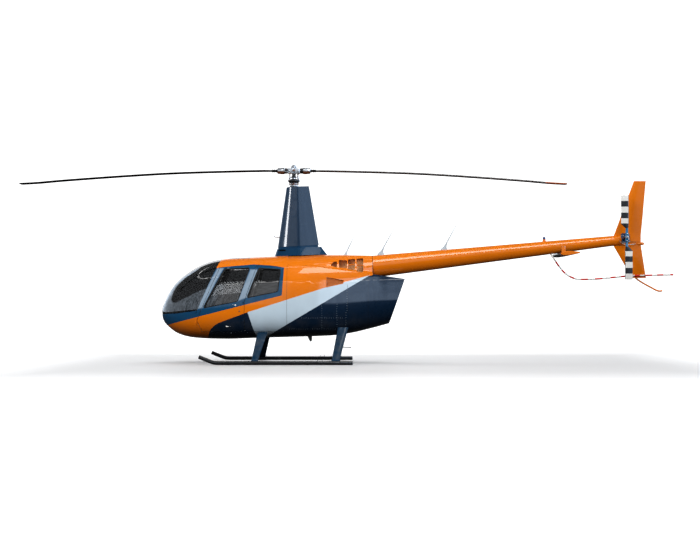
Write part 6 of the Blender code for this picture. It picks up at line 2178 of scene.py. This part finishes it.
def build_sky():
    """Soft sky for the light, and a hall with lamps and a lit wall for what shines.

    x, y and z are the parts of a ray's direction; the left side of the aircraft faces -y.
    """
    world = bpy.data.worlds.new("studio_sky")
    bpy.context.scene.world = world
    world.use_nodes = True
    graph = Graph.__new__(Graph)
    graph.tree = world.node_tree
    back = graph.tree.nodes["Background"]
    coords = graph.node("ShaderNodeTexCoord").outputs["Generated"]
    split = graph.node("ShaderNodeSeparateXYZ")
    graph.feed(split.inputs[0], coords)
    x, y, z = split.outputs
    soft = graph.remap(z, -0.05, 0.75, 0.20, 0.85)
    # Upright streaks, which break up the hall's wall and its lamps
    streak_map = graph.node("ShaderNodeMapping")
    streak_map.inputs["Scale"].default_value = (48.0, 48.0, 0.7)
    graph.feed(streak_map.inputs[0], coords)
    streak = graph.node("ShaderNodeTexNoise")
    streak.inputs["Scale"].default_value = 1.0
    streak.inputs["Detail"].default_value = 2.0
    graph.feed(streak.inputs["Vector"], streak_map.outputs[0])
    streaks = graph.remap(streak.outputs["Fac"], 0.38, 0.66, 0.0, 1.0)
    near_side = graph.fade(y, 0.10, -0.05)

    def from_x(start, end):
        return graph.fade(x, start, end)

    def between_greys(low, high):
        return graph.mix(streaks, low + (1,), high + (1,))

    # The wall in four stretches from front to rear
    hall = graph.mix(from_x(0.06, 0.12), between_greys((0.75, 0.76, 0.78), (1.08, 1.10, 1.15)),
                     between_greys((0.10, 0.10, 0.10), (0.50, 0.52, 0.55)))
    hall = graph.mix(from_x(0.30, 0.36), hall, between_greys((1.90, 2.30, 2.90), (2.40, 2.95, 3.70)))
    hall = graph.mix(from_x(-0.30, -0.42), hall, between_greys((0.45, 0.52, 0.60), (1.40, 1.62, 1.90)))
    wall_top = graph.mix(from_x(-0.30, -0.42), (0.50, 0.50, 0.50, 1),
                         graph.remap(x, -0.95, -0.45, 0.28, 0.58))
    low_wall = graph.math("MULTIPLY", graph.remap(z, 0.00, 0.02, 0.0, 1.0),
                          graph.remap(graph.math("SUBTRACT", z, wall_top), -0.02, 0.02, 1.0, 0.0))
    # Ground below the wall and a dark roof over its top edge
    ground = graph.remap(z, -0.6, 0.0, 0.03, 0.06)
    shine = graph.mix(low_wall, ground, hall)
    roof = graph.math("MULTIPLY", graph.math("GREATER_THAN", z, wall_top), near_side)
    shine = graph.mix(roof, shine, between_greys((0.03, 0.03, 0.03), (0.16, 0.16, 0.17)))
    # One bent line of light that the cabin and the cone reflect
    broken = graph.remap(streak.outputs["Fac"], 0.40, 0.56, 0.0, 1.0)
    sides = graph.math("MULTIPLY", near_side, from_x(-0.34, -0.26))
    rear = graph.math("MULTIPLY", graph.math("MAXIMUM", x, 0.0), from_x(0.26, 0.16))
    rear_squared = graph.math("MULTIPLY", rear, rear)
    bend = graph.math("MULTIPLY_ADD", rear, 0.35, graph.math("MULTIPLY", rear_squared, 1.1))
    bent = graph.math("ADD", z, bend)
    line_thick = graph.remap(x, 0.05, 0.14, 0.030, 0.012)
    level = graph.remap(from_x(0.26, 0.20), 0.0, 1.0, 0.400, 0.530)
    gap = graph.math("ABSOLUTE", graph.math("SUBTRACT", bent, level))
    edge = graph.remap(graph.math("DIVIDE", gap, line_thick), 0.3, 1.0, 1.0, 0.0, smooth=True)
    strip = graph.math("MULTIPLY", edge, sides)
    bright = graph.mix(from_x(0.05, 0.14), (3.0, 3.0, 3.0, 1), (9.0, 9.0, 9.0, 1))
    shine = graph.mix(graph.math("MULTIPLY", strip, broken), shine, bright)
    # Two straight lines of light above it
    for height, thick, power, where in ((0.800, 0.014, 4.0, from_x(-0.34, -0.46)),
                                        (0.962, 0.010, 6.0, sides)):
        gap = graph.math("ABSOLUTE", graph.math("SUBTRACT", z, height))
        edge = graph.remap(gap, thick * 0.3, thick, 1.0, 0.0, smooth=True)
        strip = graph.math("MULTIPLY", edge, where)
        shine = graph.mix(graph.math("MULTIPLY", strip, broken), shine, (power, power, power, 1))
    # What each kind of ray meets
    rays = graph.node("ShaderNodeLightPath")
    value = graph.mix(rays.outputs["Is Glossy Ray"], soft, shine)
    value = graph.mix(rays.outputs["Is Transmission Ray"], value, (0.9, 0.9, 0.9, 1))
    graph.feed(back.inputs[0], graph.mix(rays.outputs["Is Camera Ray"], value, (1.2, 1.2, 1.2, 1)))
    back.inputs[1].default_value = 1.0


def build_camera():
    """A long lens square to the left side, near the ground."""
    camera = bpy.data.cameras.new("photo_camera")
    camera.lens = CAMERA_LENS_MM
    camera.sensor_width = 36.0
    camera.clip_end = 300.0
    made = bpy.data.objects.new("photo_camera", camera)
    made.location = (CAMERA_FROM_MAST + MAST_X, -CAMERA_DISTANCE, CAMERA_HEIGHT)
    made.rotation_euler = (math.radians(90 + CAMERA_TILT), 0, 0)
    bpy.context.scene.collection.objects.link(made)
    bpy.context.scene.camera = made


build_cabin()
build_engine_bay()
build_tail_cone()
skin_rivets()
build_tail_surfaces()
build_guard()
build_lamps_and_antennas()
build_mast()
build_rotor_head()
build_tail_gearbox()
build_tail_rotor()
build_landing_gear()
build_seats()
build_cockpit()
build_small_parts()
build_studio()
build_camera()
for hidden in ("main_gearbox", "engine_block"):
    dress(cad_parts[hidden], "dark_metal")
